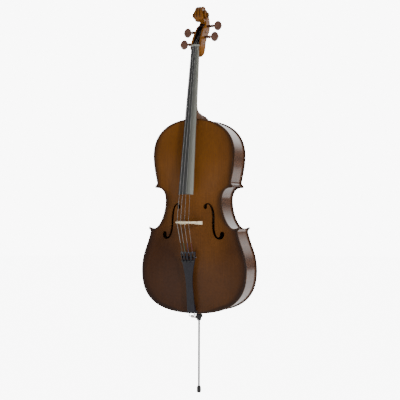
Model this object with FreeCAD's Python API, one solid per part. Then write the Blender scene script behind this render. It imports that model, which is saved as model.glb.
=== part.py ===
import FreeCAD, Part
import math
import os
from FreeCAD import Placement, Rotation, Vector

# A full-size cello, standing on its endpin. Millimetres, +Z up, the front faces -Y.
# The origin is the centre of the rubber tip's sole; Y = 0 is the middle of the ribs.

# ---- driving dimensions -------------------------------------------------------------
ENDPIN_OUT = 284.0          # floor to the lower end of the endpin's ferrule
FERRULE_LENGTH = 12.0
FLANGE_THICKNESS = 8.0
COLLAR_LENGTH = 12.6        # flange to the edge of the plates
BODY_LENGTH = 755.0
LOWER_HALF = 218.5          # half widths of the bouts and the waist
WAIST_HALF = 116.5
UPPER_HALF = 169.3
LOWER_TIP_INSET = 30.0      # how far the corner tips lie inside the bouts
UPPER_TIP_INSET = 7.3
RIB_HEIGHT = 116.0
RIB_THICKNESS = 2.0
OVERHANG = 4.0              # plate edge outside the ribs
EDGE_THICKNESS = 4.5
TOP_ARCH = 24.0
BACK_ARCH = 22.0
TOP_WOOD = 5.0              # plate thickness at its middle
BACK_WOOD = 6.0
EDGE_HOLLOW = -2.0          # the hollow's start under the flat edge
CHANNEL_MARGIN = 5.0        # flat edge outside the arching
PURFLING_INSET = 4.5
PURFLING_WIDTH = 1.5
PURFLING_DEPTH = 1.5
LINING_THICKNESS = 2.5
LINING_HEIGHT = 12.0
BUTTON_RADIUS = 14.0
STOP_SHARE = 0.535          # bridge line below the body's top, in body lengths
F_HOLE_WIDTH = 10.5

NECK_STOP = 283.0           # body edge to nut
OVERSTAND = 24.6            # fingerboard's underside above the top's edge
PROJECTION = 80.0           # fingerboard line above the belly at the bridge
BOARD_LENGTH = 585.0
BOARD_HALF_NUT = 15.5
BOARD_HALF_END = 30.0
BOARD_DEPTH_NUT = 8.0
BOARD_DEPTH_END = 13.0
BOARD_AT_BODY = 12.0        # fingerboard's thickness at its crest over the body's edge
CROWN_RADIUS = 64.0
NUT_LENGTH = 7.0
NUT_RISE = 1.2              # nut above the fingerboard
NUT_HALF = 17.5
NECK_DEPTH = 21.0
HEEL_HALF = 25.0
HEEL_RISE = 44.0            # from the button to the straight part of the neck

BRIDGE_HEIGHT = 86.0
BRIDGE_HALF_FEET = 46.0
BRIDGE_HALF_TOP = 31.0
BRIDGE_FOOT_THICKNESS = 12.0
BRIDGE_TOP_THICKNESS = 3.2

STRING_SPREAD_NUT = 22.5
STRING_SPREAD_BRIDGE = 47.0
STRINGS = (                 # name, place across, diameter, side of its peg
    ("c", -0.5, 1.8, -1),
    ("g", -1.0 / 6.0, 1.5, -1),
    ("d", 1.0 / 6.0, 1.25, 1),
    ("a", 0.5, 1.0, 1),
)

STRING_BENDS = (3.5, 4.0, 3.0)      # at the nut, the bridge and the tailpiece

TAIL_TOP_GAP = 110.0        # bridge line to the tailpiece's upper end, along Z
TAIL_BOTTOM_GAP = 8.5       # body edge to the tailpiece's lower end
TAIL_TOP_RISE = 54.5        # tailpiece's back above the top's edge, upper end
TAIL_BOTTOM_RISE = 13.5
TAIL_HALF_TOP = 30.5
TAIL_HALF_WAIST = 13.5
TAIL_HALF_BOTTOM = 15.5
TAIL_CREST = 9.0
TAIL_WALL = 4.0
TUNER_SPREAD = 42.0
GUT_DIAMETER = 3.0

ROD_RADIUS = 4.0
ROD_LENGTH = 480.0
TIP_LENGTH = 27.0
TIP_RADIUS = 8.5
TIP_SOLE_RADIUS = 3.5
TIP_SOCKET = 22.0
COLLAR_RADIUS = 11.0
FLANGE_RADIUS = 14.0
FERRULE_RADIUS = 9.0
PLUG_LENGTH = 38.0

PEG_COLLAR_X = 42.0         # outer face of the peg's collar from the middle
PEG_HEAD_LENGTH = 30.0
PEG_HEAD_HALF = 18.0
PEG_HEAD_THICKNESS = 9.0
PEG_NECK_LENGTH = 4.0
PEG_THICK_RADIUS = 5.6      # shank under the collar
PEG_THIN_RADIUS = 4.7       # shank's far end

RUN_CLEARANCE = 0.06        # radial, for what turns or slides in a hole
FREE_GAP = 0.3              # between pieces that move past each other

# ---- places that follow from them ---------------------------------------------------
BODY_BOTTOM = ENDPIN_OUT + FERRULE_LENGTH + FLANGE_THICKNESS + COLLAR_LENGTH
BODY_TOP = BODY_BOTTOM + BODY_LENGTH
HALF_RIB = RIB_HEIGHT / 2.0
EDGE_Y = HALF_RIB + EDGE_THICKNESS
LOWER_TIP = LOWER_HALF - LOWER_TIP_INSET
UPPER_TIP = UPPER_HALF - UPPER_TIP_INSET
BRIDGE_Z = BODY_TOP - STOP_SHARE * BODY_LENGTH
NUT_Z = BODY_TOP + NECK_STOP
CREST_AT_BODY = -(EDGE_Y + OVERSTAND + BOARD_AT_BODY)
CREST_AT_BRIDGE = -(EDGE_Y + TOP_ARCH + PROJECTION)
BOARD_SLOPE = (CREST_AT_BODY - CREST_AT_BRIDGE) / (BODY_TOP - BRIDGE_Z)
BOARD_ANGLE = math.degrees(math.atan(BOARD_SLOPE))
NUT_Y = CREST_AT_BODY + BOARD_SLOPE * NECK_STOP
TAIL_TOP_Y = -(EDGE_Y + TAIL_TOP_RISE)
TAIL_BOTTOM_Y = -(EDGE_Y + TAIL_BOTTOM_RISE)
TAIL_TOP_Z = BRIDGE_Z - TAIL_TOP_GAP
TAIL_BOTTOM_Z = BODY_BOTTOM + TAIL_BOTTOM_GAP
TAIL_LENGTH = math.hypot(TAIL_TOP_Z - TAIL_BOTTOM_Z, TAIL_TOP_Y - TAIL_BOTTOM_Y)
TAIL_ANGLE = math.degrees(math.atan2(TAIL_BOTTOM_Y - TAIL_TOP_Y, TAIL_TOP_Z - TAIL_BOTTOM_Z))
FAR = 900.0                 # larger than any piece, for cutting tools

parts = {}


# ---- helpers ------------------------------------------------------------------------
def curve(points):
    """A straight edge through two points, or the Bezier curve of four."""
    if len(points) == 2:
        return Part.makeLine(*points)
    bezier = Part.BezierCurve()
    bezier.setPoles(points)
    return bezier.toShape()


def smooth(points):
    """One smooth curve through every point."""
    spline = Part.BSplineCurve()
    spline.interpolate(points)
    return spline.toShape()


def box(x0, x1, y0, y1, z0, z1):
    return Part.makeBox(x1 - x0, y1 - y0, z1 - z0, Vector(x0, y0, z0))


def polygon_xz(points, y0, y1):
    """A prism along Y on a polygon of (x, z) points."""
    corners = [Vector(x, y0, z) for x, z in points]
    face = Part.Face(Part.makePolygon(corners + corners[:1]))
    return face.extrude(Vector(0, y1 - y0, 0))


def polygon_yz(points, x0, x1):
    """A prism along X on a polygon of (y, z) points."""
    corners = [Vector(x0, y, z) for y, z in points]
    face = Part.Face(Part.makePolygon(corners + corners[:1]))
    return face.extrude(Vector(x1 - x0, 0, 0))


def turned(profile, start, direction):
    """The solid of revolution of a closed (along, radius) profile about a line."""
    corners = [Vector(radius, 0, along) for along, radius in profile]
    face = Part.Face(Part.makePolygon(corners + corners[:1]))
    solid = face.revolve(Vector(0, 0, 0), Vector(0, 0, 1), 360)
    solid.Placement = Placement(start, Rotation(Vector(0, 0, 1), direction))
    return solid


def rod(start, direction, radius, length):
    return Part.makeCylinder(radius, length, start, direction)


def rounded(points, bends):
    """The edges of straight runs, each inner point rounded by a tangent arc."""
    edges = []
    here = points[0]
    for before, corner, after, bend in zip(points, points[1:], points[2:], bends):
        into = (corner - before).normalize()
        out = (after - corner).normalize()
        half_turn = into.getAngle(out) / 2.0
        first = corner - into * bend * math.tan(half_turn)
        last = corner + out * bend * math.tan(half_turn)
        inward = (out - into).normalize()
        middle = corner + inward * bend * (1.0 / math.cos(half_turn) - 1.0)
        edges.append(Part.makeLine(here, first))
        edges.append(Part.Arc(first, middle, last).toShape())
        here = last
    edges.append(Part.makeLine(here, points[-1]))
    return edges


def cord(edges, start, way, radius):
    """A round cord swept along joined edges."""
    path = Part.Wire(edges)
    ring = Part.Wire(Part.makeCircle(radius, start, way))
    solid = path.makePipeShell([ring], True, False)
    share = solid.Volume / (math.pi * radius * radius * path.Length)
    print("cord: %.1f mm long, volume share %.4f" % (path.Length, share))
    return solid


# ---- the outline and the arching ----------------------------------------------------
def half_outline():
    """The right half of a plate's edge, from the bottom centre to the top centre."""
    h = BODY_LENGTH
    lo, wa, up = LOWER_HALF, WAIST_HALF, UPPER_HALF
    lt, ut = LOWER_TIP, UPPER_TIP
    return (
        ((0, 0), (0.71 * lo, 0), (lo, 0.073 * h), (lo, 0.215 * h)),
        ((lo, 0.215 * h), (lo, 0.309 * h), (lt + 3.2, 0.347 * h), (lt - 7.3, 0.4166 * h)),
        ((lt - 7.3, 0.4166 * h), (lt - 8.2, 0.4225 * h), (lt - 5.5, 0.4305 * h), (lt, 0.4338 * h)),
        ((lt, 0.4338 * h), (lt - 1.5, 0.4424 * h)),
        ((lt - 1.5, 0.4424 * h), (lt - 8.5, 0.437 * h), (lt - 15.5, 0.4344 * h), (lt - 22.5, 0.4344 * h)),
        ((lt - 22.5, 0.4344 * h), (lt - 44.5, 0.4344 * h), (wa, 0.5073 * h), (wa, 0.58 * h)),
        ((wa, 0.58 * h), (wa, 0.625 * h), (ut - 29, 0.6464 * h), (ut - 12, 0.6464 * h)),
        ((ut - 12, 0.6464 * h), (ut - 8, 0.6464 * h), (ut - 4, 0.6468 * h), (ut, 0.6483 * h)),
        ((ut, 0.6483 * h), (ut - 1, 0.657 * h)),
        ((ut - 1, 0.657 * h), (ut - 6, 0.6603 * h), (ut - 9.2, 0.6669 * h), (ut - 8.2, 0.6738 * h)),
        ((ut - 8.2, 0.6738 * h), (ut - 1.6, 0.7172 * h), (up, 0.761 * h), (up, 0.8155 * h)),
        ((up, 0.8155 * h), (up, 0.9386 * h), (0.567 * up, h), (0, h)),
    )


def outline_face(inset):
    """The plate's outline in the plane Y = 0, or that outline drawn in by inset."""
    edges = []
    for side in (1, -1):
        for piece in half_outline()[::side]:
            edges.append(curve([Vector(side * x, 0, BODY_BOTTOM + z) for x, z in piece[::side]]))
    face = Part.Face(Part.Wire(edges))
    if not inset:
        return face
    drawn_in = face.makeOffset2D(-inset).Wires[0].toNurbs()
    return Part.Face(Part.Wire(Part.__sortEdges__(drawn_in.Edges)))


def slab(face, y0, y1):
    """The outline's prism between two depths."""
    moved = face.copy()
    moved.translate(Vector(0, y0, 0))
    return moved.extrude(Vector(0, y1 - y0, 0))


def bump(share, sharpness):
    """1 at the middle, falling smoothly to 0 at share 1 and beyond."""
    inside = min(abs(share), 1.0)
    return (1.0 - inside ** sharpness) ** 3


def channel_half(up):
    """Half the arching's width at a height above the body's bottom."""
    lower = LOWER_HALF - CHANNEL_MARGIN
    waist = WAIST_HALF - CHANNEL_MARGIN
    upper = UPPER_HALF - CHANNEL_MARGIN
    share = min(max(up / BODY_LENGTH, 0.0), 1.0)
    if share < 0.215:
        return lower * (0.56 + 0.44 * math.sin(math.pi / 2 * share / 0.215))
    if share < 0.58:
        ease = (1 - math.cos(math.pi * (share - 0.215) / 0.365)) / 2
        return lower + (waist - lower) * ease
    if share < 0.8155:
        ease = (1 - math.cos(math.pi * (share - 0.58) / 0.2355)) / 2
        return waist + (upper - waist) * ease
    return upper * (0.55 + 0.45 * math.cos(math.pi / 2 * (share - 0.8155) / 0.1845))


def arch_share(x, up):
    """The arching at a point of the plate, as a share of its full height."""
    half = BODY_LENGTH / 2.0
    along = (up - half) / (half - CHANNEL_MARGIN)
    return bump(along, 4.5) * bump(x / channel_half(up), 2.4)


def arch_face(front, base, rise):
    """The smooth arched face whose height is base + rise x arch_share."""
    columns, rows = 33, 53
    reach = LOWER_HALF + 14.0
    margin = 30.0
    grid = []
    for i in range(columns):
        x = reach * (2.0 * i / (columns - 1) - 1.0)
        line = []
        for j in range(rows):
            up = (BODY_LENGTH + 2 * margin) * j / (rows - 1) - margin
            height = base + rise * arch_share(x, up)
            line.append(Vector(x, front * height, BODY_BOTTOM + up))
        grid.append(line)
    surface = Part.BSplineSurface()
    surface.interpolate(grid)
    return surface.toShape()


def arched_plate(front, blank, arch, wood):
    """Carves a blank: front is -1 for the top and 1 for the back. Also its hollow."""
    outside = arch_face(front, EDGE_Y, arch).extrude(Vector(0, front * 80, 0))
    inner_rise = EDGE_THICKNESS + arch - wood - EDGE_HOLLOW
    inside = arch_face(front, HALF_RIB + EDGE_HOLLOW, inner_rise)
    hollow = inside.extrude(Vector(0, -front * 300, 0))
    return blank.cut(outside).cut(hollow), hollow


def make_body_shell():
    edge = outline_face(0)
    top_blank = slab(edge, -HALF_RIB, -(EDGE_Y + TOP_ARCH + 2))
    top, top_hollow = arched_plate(-1, top_blank, TOP_ARCH, TOP_WOOD)
    back_blank = slab(edge, HALF_RIB, EDGE_Y + BACK_ARCH + 2)
    back, back_hollow = arched_plate(1, back_blank, BACK_ARCH, BACK_WOOD)
    button = rod(Vector(0, HALF_RIB, BODY_TOP), Vector(0, 1, 0), BUTTON_RADIUS, EDGE_THICKNESS)
    back = back.fuse(button.common(box(-FAR, FAR, 0, FAR, BODY_TOP - OVERHANG, 2 * FAR)))
    groove = outline_face(PURFLING_INSET).cut(outline_face(PURFLING_INSET + PURFLING_WIDTH))
    floor = EDGE_Y - PURFLING_DEPTH
    top_groove = slab(groove, -floor, -(EDGE_Y + 3))
    back_groove = slab(groove, floor, EDGE_Y + 3)
    parts["top_purfling"] = top.common(top_groove)
    parts["back_purfling"] = back.common(back_groove)
    parts["top_plate"] = top.cut(top_groove)
    parts["back_plate"] = back.cut(back_groove)
    return top_hollow, back_hollow


def corner_lines():
    """Where the ribs meet at the lower and upper corners, as (x, z, slope) lines."""
    lower = (LOWER_TIP, BODY_BOTTOM + 0.4385 * BODY_LENGTH, 0.68)
    upper = (UPPER_TIP, BODY_BOTTOM + 0.652 * BODY_LENGTH, -0.2)
    return lower, upper


def make_ribs():
    ring = outline_face(OVERHANG).cut(outline_face(OVERHANG + RIB_THICKNESS))
    ribs = slab(ring, -HALF_RIB, HALF_RIB)
    (lx, lz, lslope), (ux, uz, uslope) = corner_lines()
    for side, hand in ((-1, "left"), (1, "right")):
        half = ribs.common(box(min(0, side * FAR), max(0, side * FAR), -FAR, FAR, 0, 2 * FAR))
        low = ((0, 0), (side * FAR, 0), (side * FAR, lz), (side * lx, lz),
               (0, lz - lslope * lx))
        high = ((0, 2 * FAR), (side * FAR, 2 * FAR), (side * FAR, uz), (side * ux, uz),
                (0, uz - uslope * ux))
        low_tool = polygon_xz(low, -FAR, FAR)
        high_tool = polygon_xz(high, -FAR, FAR)
        parts["lower_%s_rib" % hand] = half.common(low_tool)
        parts["upper_%s_rib" % hand] = half.common(high_tool)
        parts["waist_%s_rib" % hand] = half.cut(low_tool).cut(high_tool)


def make_blocks():
    h, base = BODY_LENGTH, BODY_BOTTOM
    room = slab(outline_face(OVERHANG + RIB_THICKNESS), -HALF_RIB, HALF_RIB)
    parts["neck_block"] = room.common(box(-52, 52, -FAR, FAR, BODY_TOP - 58, BODY_TOP))
    parts["end_block"] = room.common(box(-45, 45, -FAR, FAR, base, base + 34))
    corners = []
    for side in (-1, 1):
        lower = ((WAIST_HALF + 6, 0.505 * h), (LOWER_TIP + 10, 0.47 * h),
                 (LOWER_TIP + 10, 0.36 * h), (LOWER_TIP - 12, 0.365 * h))
        upper = ((WAIST_HALF + 5, 0.595 * h), (UPPER_TIP + 10, 0.63 * h),
                 (UPPER_TIP + 10, 0.735 * h), (UPPER_TIP - 14, 0.72 * h))
        for region in (lower, upper):
            points = [(side * x, base + z) for x, z in region]
            corners.extend(room.common(polygon_xz(points, -FAR, FAR)).Solids)
    parts["corner_blocks"] = Part.makeCompound(corners)
    ring = outline_face(OVERHANG + RIB_THICKNESS).cut(
        outline_face(OVERHANG + RIB_THICKNESS + LINING_THICKNESS))
    blocks = [parts["neck_block"], parts["end_block"]] + corners
    for name, front in (("top_linings", -1), ("back_linings", 1)):
        strip = slab(ring, front * (HALF_RIB - LINING_HEIGHT), front * HALF_RIB)
        for block in blocks:
            strip = strip.cut(block)
        parts[name] = strip


# ---- sound holes, bar and post ------------------------------------------------------
def f_hole(side):
    """One f-hole as a prism along Y: two eyes joined by a swelling stem."""
    wa = WAIST_HALF
    z = BRIDGE_Z
    half = F_HOLE_WIDTH / 2.0
    stem = 0.73 * wa
    ex, lx = 0.472 * wa, 1.03 * wa
    er, lr = 7.0, 9.2
    ez, lz = z + 60, z - 43
    top, low = ez + 16, z - 64
    right = stem + half
    left = stem - half
    ring = (
        ((ex - er, ez), (ex - er, ez + 9), (ex - 1, top), (ex + 8, top)),
        ((ex + 8, top), (ex + 23, top), (right, z + 52), (right, z + 18)),
        ((right, z + 18), (right, z - 12), (right + 1, z - 36), (right + 9, z - 49)),
        ((right + 9, z - 49), (lx - 17, z - 57), (lx - 9, z - 61), (lx - lr + 0.6, lz)),
        ((lx - lr + 0.6, lz), (lx + lr, lz)),
        ((lx + lr, lz), (lx + lr, z - 55), (lx + 1, low), (lx - 8, low)),
        ((lx - 8, low), (lx - 14, low), (lx - 19, low + 1.5), (lx - 24, low + 6)),
        ((lx - 24, low + 6), (left + 2, z - 46), (left, z - 16), (left, z + 18)),
        ((left, z + 18), (left, z + 48), (ex + 16, top - 5), (ex + 9, top - 5)),
        ((ex + 9, top - 5), (ex + 5, top - 5), (ex + er - 1, ez + 6), (ex + er, ez)),
        ((ex + er, ez), (ex - er, ez)),
    )
    wire = Part.Wire([curve([Vector(side * x, 0, up) for x, up in piece]) for piece in ring])
    hole = slab(Part.Face(wire), -HALF_RIB + 5, -(EDGE_Y + TOP_ARCH + 5))
    start = Vector(0, -(EDGE_Y + TOP_ARCH + 5), 0)
    depth = EDGE_THICKNESS + TOP_ARCH + 10
    for x, up, radius in ((ex, ez, er), (lx, lz, lr)):
        hole = hole.fuse(rod(start + Vector(side * x, 0, up), Vector(0, 1, 0), radius, depth))
    nick = ((stem - half - 3, z), (stem, z - 2.2), (stem + half + 3, z), (stem, z + 2.2))
    notches = polygon_xz([(side * x, up) for x, up in nick], start.y, start.y + depth)
    return hole.fuse(notches)


def make_inner_wood(top_hollow, back_hollow):
    bar_x, bar_half = -34.0, 5.0
    low, high = BODY_BOTTOM + 0.14 * BODY_LENGTH, BODY_TOP - 0.14 * BODY_LENGTH
    inner_top = EDGE_Y + TOP_ARCH - TOP_WOOD
    profile = ((-FAR / 4, low), (-HALF_RIB - 4, low), (24 - inner_top, BRIDGE_Z - 60),
               (24 - inner_top, BRIDGE_Z + 60), (-HALF_RIB - 4, high), (-FAR / 4, high))
    bar = polygon_yz(profile, bar_x - bar_half, bar_x + bar_half)
    parts["bass_bar"] = bar.common(top_hollow)
    post = rod(Vector(-bar_x, -200, BRIDGE_Z - 14), Vector(0, 1, 0), 5.5, 400)
    parts["sound_post"] = post.common(top_hollow).common(back_hollow)


# ---- neck, fingerboard and nut ------------------------------------------------------
def on_board(shape):
    """Carries a piece from the fingerboard's frame (nut end, -Z towards the bridge)."""
    placed = shape.copy()
    placed.Placement = Placement(
        Vector(0, NUT_Y, NUT_Z), Rotation(Vector(1, 0, 0), -BOARD_ANGLE)).multiply(placed.Placement)
    return placed


def board_point(x, y, z):
    turn = Rotation(Vector(1, 0, 0), -BOARD_ANGLE)
    return Vector(0, NUT_Y, NUT_Z) + turn.multVec(Vector(x, y, z))


def crown_drop(x):
    """How far the crowned surface falls at a distance from its crest."""
    return CROWN_RADIUS - math.sqrt(CROWN_RADIUS ** 2 - x * x)


def make_fingerboard():
    length = BOARD_LENGTH
    side_view = polygon_yz(((0, 0), (BOARD_DEPTH_NUT, 0), (BOARD_DEPTH_END, -length), (0, -length)),
                           -60, 60)
    plan = polygon_xz(((-BOARD_HALF_NUT, 0), (BOARD_HALF_NUT, 0), (BOARD_HALF_END, -length),
                       (-BOARD_HALF_END, -length)), -5, 40)
    crown = rod(Vector(0, CROWN_RADIUS, -length - 5), Vector(0, 0, 1), CROWN_RADIUS, length + 10)
    board = side_view.common(plan).common(crown)
    scoop_radius, scoop_start, roof = 40.0, NECK_STOP + 45.0, 6.5
    scoop = rod(Vector(0, roof + scoop_radius, -length - 5), Vector(0, 0, 1), scoop_radius,
                length + 5 - scoop_start)
    parts["fingerboard"] = on_board(board.cut(scoop))
    nut = box(-NUT_HALF, NUT_HALF, -NUT_RISE, BOARD_DEPTH_NUT, 0, NUT_LENGTH)
    nut_crown = rod(Vector(0, CROWN_RADIUS - NUT_RISE, -1), Vector(0, 0, 1), CROWN_RADIUS,
                    NUT_LENGTH + 2)
    parts["nut"] = on_board(nut.common(nut_crown))


def glue_y(z):
    """The fingerboard's underside at a height."""
    near = board_point(0, BOARD_DEPTH_NUT, 0)
    far = board_point(0, BOARD_DEPTH_END, -BOARD_LENGTH)
    return near.y + (far.y - near.y) * (z - near.z) / (far.z - near.z)


def neck_section(z, half, depth):
    """A closed U at one height: flat under the fingerboard, rounded behind."""
    top_y = glue_y(z)
    back_y = top_y + depth
    full = 0.62
    right = curve([Vector(half, top_y, z), Vector(half, top_y + full * depth, z),
                   Vector(full * half, back_y, z), Vector(0, back_y, z)])
    left = curve([Vector(0, back_y, z), Vector(-full * half, back_y, z),
                  Vector(-half, top_y + full * depth, z), Vector(-half, top_y, z)])
    flat = Part.makeLine(Vector(-half, top_y, z), Vector(half, top_y, z))
    return Part.Wire([right, left, flat])


def make_neck_shaft():
    """The neck's shaft and heel: ruled spans between level sections of one smooth profile."""
    foot, button = BODY_TOP - OVERHANG, BODY_TOP + BUTTON_RADIUS
    stations = [(foot, HEEL_HALF, HALF_RIB - glue_y(foot)),
                (button, HEEL_HALF, HALF_RIB - glue_y(button))]
    heel_top = button + HEEL_RISE
    for share in (0.03, 0.07, 0.12, 0.18, 0.25, 0.33, 0.42, 0.53, 0.66, 0.82, 1.0):
        z = button + share * HEEL_RISE
        left_over = (1.0 - share) ** 5
        depth = NECK_DEPTH + 3 * (1 - share) + (HALF_RIB - glue_y(z) - NECK_DEPTH - 3) * left_over
        stations.append((z, HEEL_HALF - 4.0 * share, depth))
    for share in (0.25, 0.5, 0.75, 1.0):
        z = heel_top + share * (NUT_Z - heel_top)
        half = HEEL_HALF - 4.0
        stations.append((z, half + (BOARD_HALF_NUT - half) * share, NECK_DEPTH))
    return Part.makeLoft([neck_section(*station) for station in stations], True, True)


def head_point(y, z, x=0.0):
    """A point of the head, measured back and up from the front of the nut."""
    return Vector(x, NUT_Y + y, NUT_Z + z)


SCROLL_EYE = (62.0, 131.4)
HEAD_BACK = ((24, -40), (37, -35), (48, -25), (53, -9), (58, 11), (66, 28), (80, 46), (98, 61),
             (113, 78), (121, 98), (122, 117), (115, 134), (101, 147), (85, 157), (65, 164),
             (48, 160), (37, 149), (32.5, 134), (36, 119), (45, 109), (57, 105.5))
HEAD_FRONT = ((57, 105.5), (68, 106), (79, 110), (87, 108), (85, 101), (70, 90), (49, 73),
              (34, 52), (24, 36), (16, 18), (6, 0))
HEAD_WIDTHS = ((-42, 15.0), (-30, 18.0), (-14, 20.5), (-2, 22.0), (14, 21.5), (37, 20.0), (53, 18.0),
               (73, 16.7), (92, 15.8), (108, 14.5), (125, 13.0), (145, 11.5), (167, 10.0))
SLOT_FLOOR = ((-25, 3), (44, 3), (48, 14), (54, 28), (66, 43), (79, 54), (90, 64), (100, 76),
              (107, 91), (105, 98), (93, 101.5), (80, 97.5), (50, 92), (-25, 50))
SPIRAL_RADIUS = 33.5
SPIRAL_DECAY = 0.1
TERRACES = ((1, 9, 16.5), (2, 16.5, 21.5), (3, 21.5, 26.5), (4, 26.5, 29.5))
PEG_AXES = {"c": (40.0, 14.4), "a": (57.0, 43.4), "g": (75.5, 67.0), "d": (91.5, 92.0)}


def scroll_spiral():
    """The volute's edge, one shrinking spiral whose parameter is its angle."""
    angles = [math.pi * i / 12.0 for i in range(12, 73)]
    points = []
    for angle in angles:
        radius = SPIRAL_RADIUS * math.exp(-SPIRAL_DECAY * (angle - math.pi / 2))
        points.append(head_point(SCROLL_EYE[0] + radius * math.cos(angle),
                                 SCROLL_EYE[1] + radius * math.sin(angle)))
    spline = Part.BSplineCurve()
    spline.interpolate(Points=points, Parameters=angles)
    return spline


def spiral_layer(spiral, side, half_turns, x0, x1):
    """One terrace of a volute: a full turn of the spiral, then a radial step."""
    first = half_turns * math.pi
    turn = spiral.toShape(first, first + 2 * math.pi)
    step = Part.makeLine(spiral.value(first + 2 * math.pi), spiral.value(first))
    face = Part.Face(Part.Wire([turn, step]))
    face.translate(Vector(side * x0, 0, 0))
    return face.extrude(Vector(side * (x1 - x0), 0, 0))


def make_head():
    """Pegbox and scroll, as one body to be fused to the neck."""
    back = smooth([head_point(y, z, -45) for y, z in HEAD_BACK])
    front = smooth([head_point(y, z, -45) for y, z in HEAD_FRONT])
    close = Part.makePolygon([head_point(6, 0, -45), head_point(9, -15, -45),
                              head_point(24, -40, -45)])
    face = Part.Face(Part.Wire([back, front] + close.Edges))
    body = face.extrude(Vector(90, 0, 0))
    right = smooth([Vector(x, NUT_Y - 20, NUT_Z + z) for z, x in HEAD_WIDTHS])
    left = smooth([Vector(-x, NUT_Y - 20, NUT_Z + z) for z, x in HEAD_WIDTHS])
    ends = [Part.makeLine(a, Vector(-a.x, a.y, a.z)) for a in
            (right.Vertexes[0].Point, right.Vertexes[-1].Point)]
    plan = Part.Face(Part.Wire(Part.__sortEdges__([right, left] + ends)))
    body = body.common(plan.extrude(Vector(0, 190, 0)))
    spiral = scroll_spiral()
    for side in (-1, 1):
        for half_turns, x0, x1 in TERRACES:
            body = body.fuse(spiral_layer(spiral, side, half_turns, x0, x1))
        eye = rod(head_point(*SCROLL_EYE, side * 20), Vector(side, 0, 0), 8.2, 12.0)
        body = body.fuse(eye)
    slot = polygon_yz([(NUT_Y + y, NUT_Z + z) for y, z in SLOT_FLOOR], -14, 14)
    taper = polygon_xz(((-14, NUT_Z), (14, NUT_Z), (8.5, NUT_Z + 100), (-8.5, NUT_Z + 100)),
                       NUT_Y - 40, NUT_Y + 140)
    return body.cut(slot.common(taper))


def make_neck():
    neck = make_neck_shaft().fuse(make_head())
    tenon = box(-20, 20, glue_y(BODY_TOP) + 2, HALF_RIB, BODY_TOP - 22, BODY_TOP)
    neck = neck.fuse(tenon).cut(parts["nut"]).cut(parts["fingerboard"])
    parts["neck"] = neck.removeSplitter()
    for name in ("top_plate", "top_purfling", "upper_left_rib", "upper_right_rib", "neck_block"):
        parts[name] = parts[name].cut(parts["neck"])


# ---- pegs ---------------------------------------------------------------------------
def peg_radius(x):
    """The tapered shank's radius at a distance from the middle towards the head."""
    thin, thick = -24.0, PEG_COLLAR_X
    return PEG_THIN_RADIUS + (PEG_THICK_RADIUS - PEG_THIN_RADIUS) * (x - thin) / (thick - thin)


def make_pegs():
    holes = []
    for name, _, diameter, side in STRINGS:
        y, z = PEG_AXES[name]
        axis_point = head_point(y, z)
        way = Vector(side, 0, 0)
        thin = -22.0 if z < 50 else -19.5
        collar = PEG_COLLAR_X
        neck_end = collar + PEG_NECK_LENGTH
        profile = ((thin, 0), (thin, peg_radius(thin)), (collar - 4, peg_radius(collar - 4)),
                   (collar - 4, 6.6), (collar, 6.6), (collar, 4.2), (neck_end + 6, 4.2),
                   (neck_end + 6, 0))
        shank = turned(profile, axis_point, way)
        centre = neck_end + PEG_HEAD_LENGTH / 2.0
        disc = Part.Face(Part.Wire(Part.Ellipse(
            Vector(0, 0, 0), PEG_HEAD_HALF, PEG_HEAD_LENGTH / 2.0).toShape()))
        disc.Placement = Placement(axis_point + way * centre + Vector(0, PEG_HEAD_THICKNESS / 2, 0),
                                   Rotation(Vector(0, 0, 1), Vector(1, 0, 0), Vector(0, -1, 0), "ZXY"))
        head = disc.extrude(Vector(0, -PEG_HEAD_THICKNESS, 0))
        parts["peg_%s" % name] = shank.fuse(head)
        reach = 30.0
        holes.append(turned(((-reach, 0), (-reach, peg_radius(-reach) + RUN_CLEARANCE),
                             (reach, peg_radius(reach) + RUN_CLEARANCE), (reach, 0)),
                            axis_point, way))
        turns, coil_x = 5, coil_place(name)
        half = turns * diameter / 2.0
        ring = rod(axis_point + Vector(coil_x - half, 0, 0), Vector(1, 0, 0),
                   coil_radius(name), 2 * half)
        parts["string_coil_%s" % name] = ring.cut(parts["peg_%s" % name])
    neck = parts["neck"]
    for hole in holes:
        neck = neck.cut(hole)
    parts["neck"] = neck


def coil_place(name):
    """Where along X a string winds on its peg."""
    return {"c": -8.0, "g": -3.5, "d": 3.5, "a": 7.0}[name]


def coil_radius(name):
    diameter = [row[2] for row in STRINGS if row[0] == name][0]
    return PEG_THICK_RADIUS + diameter


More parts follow.
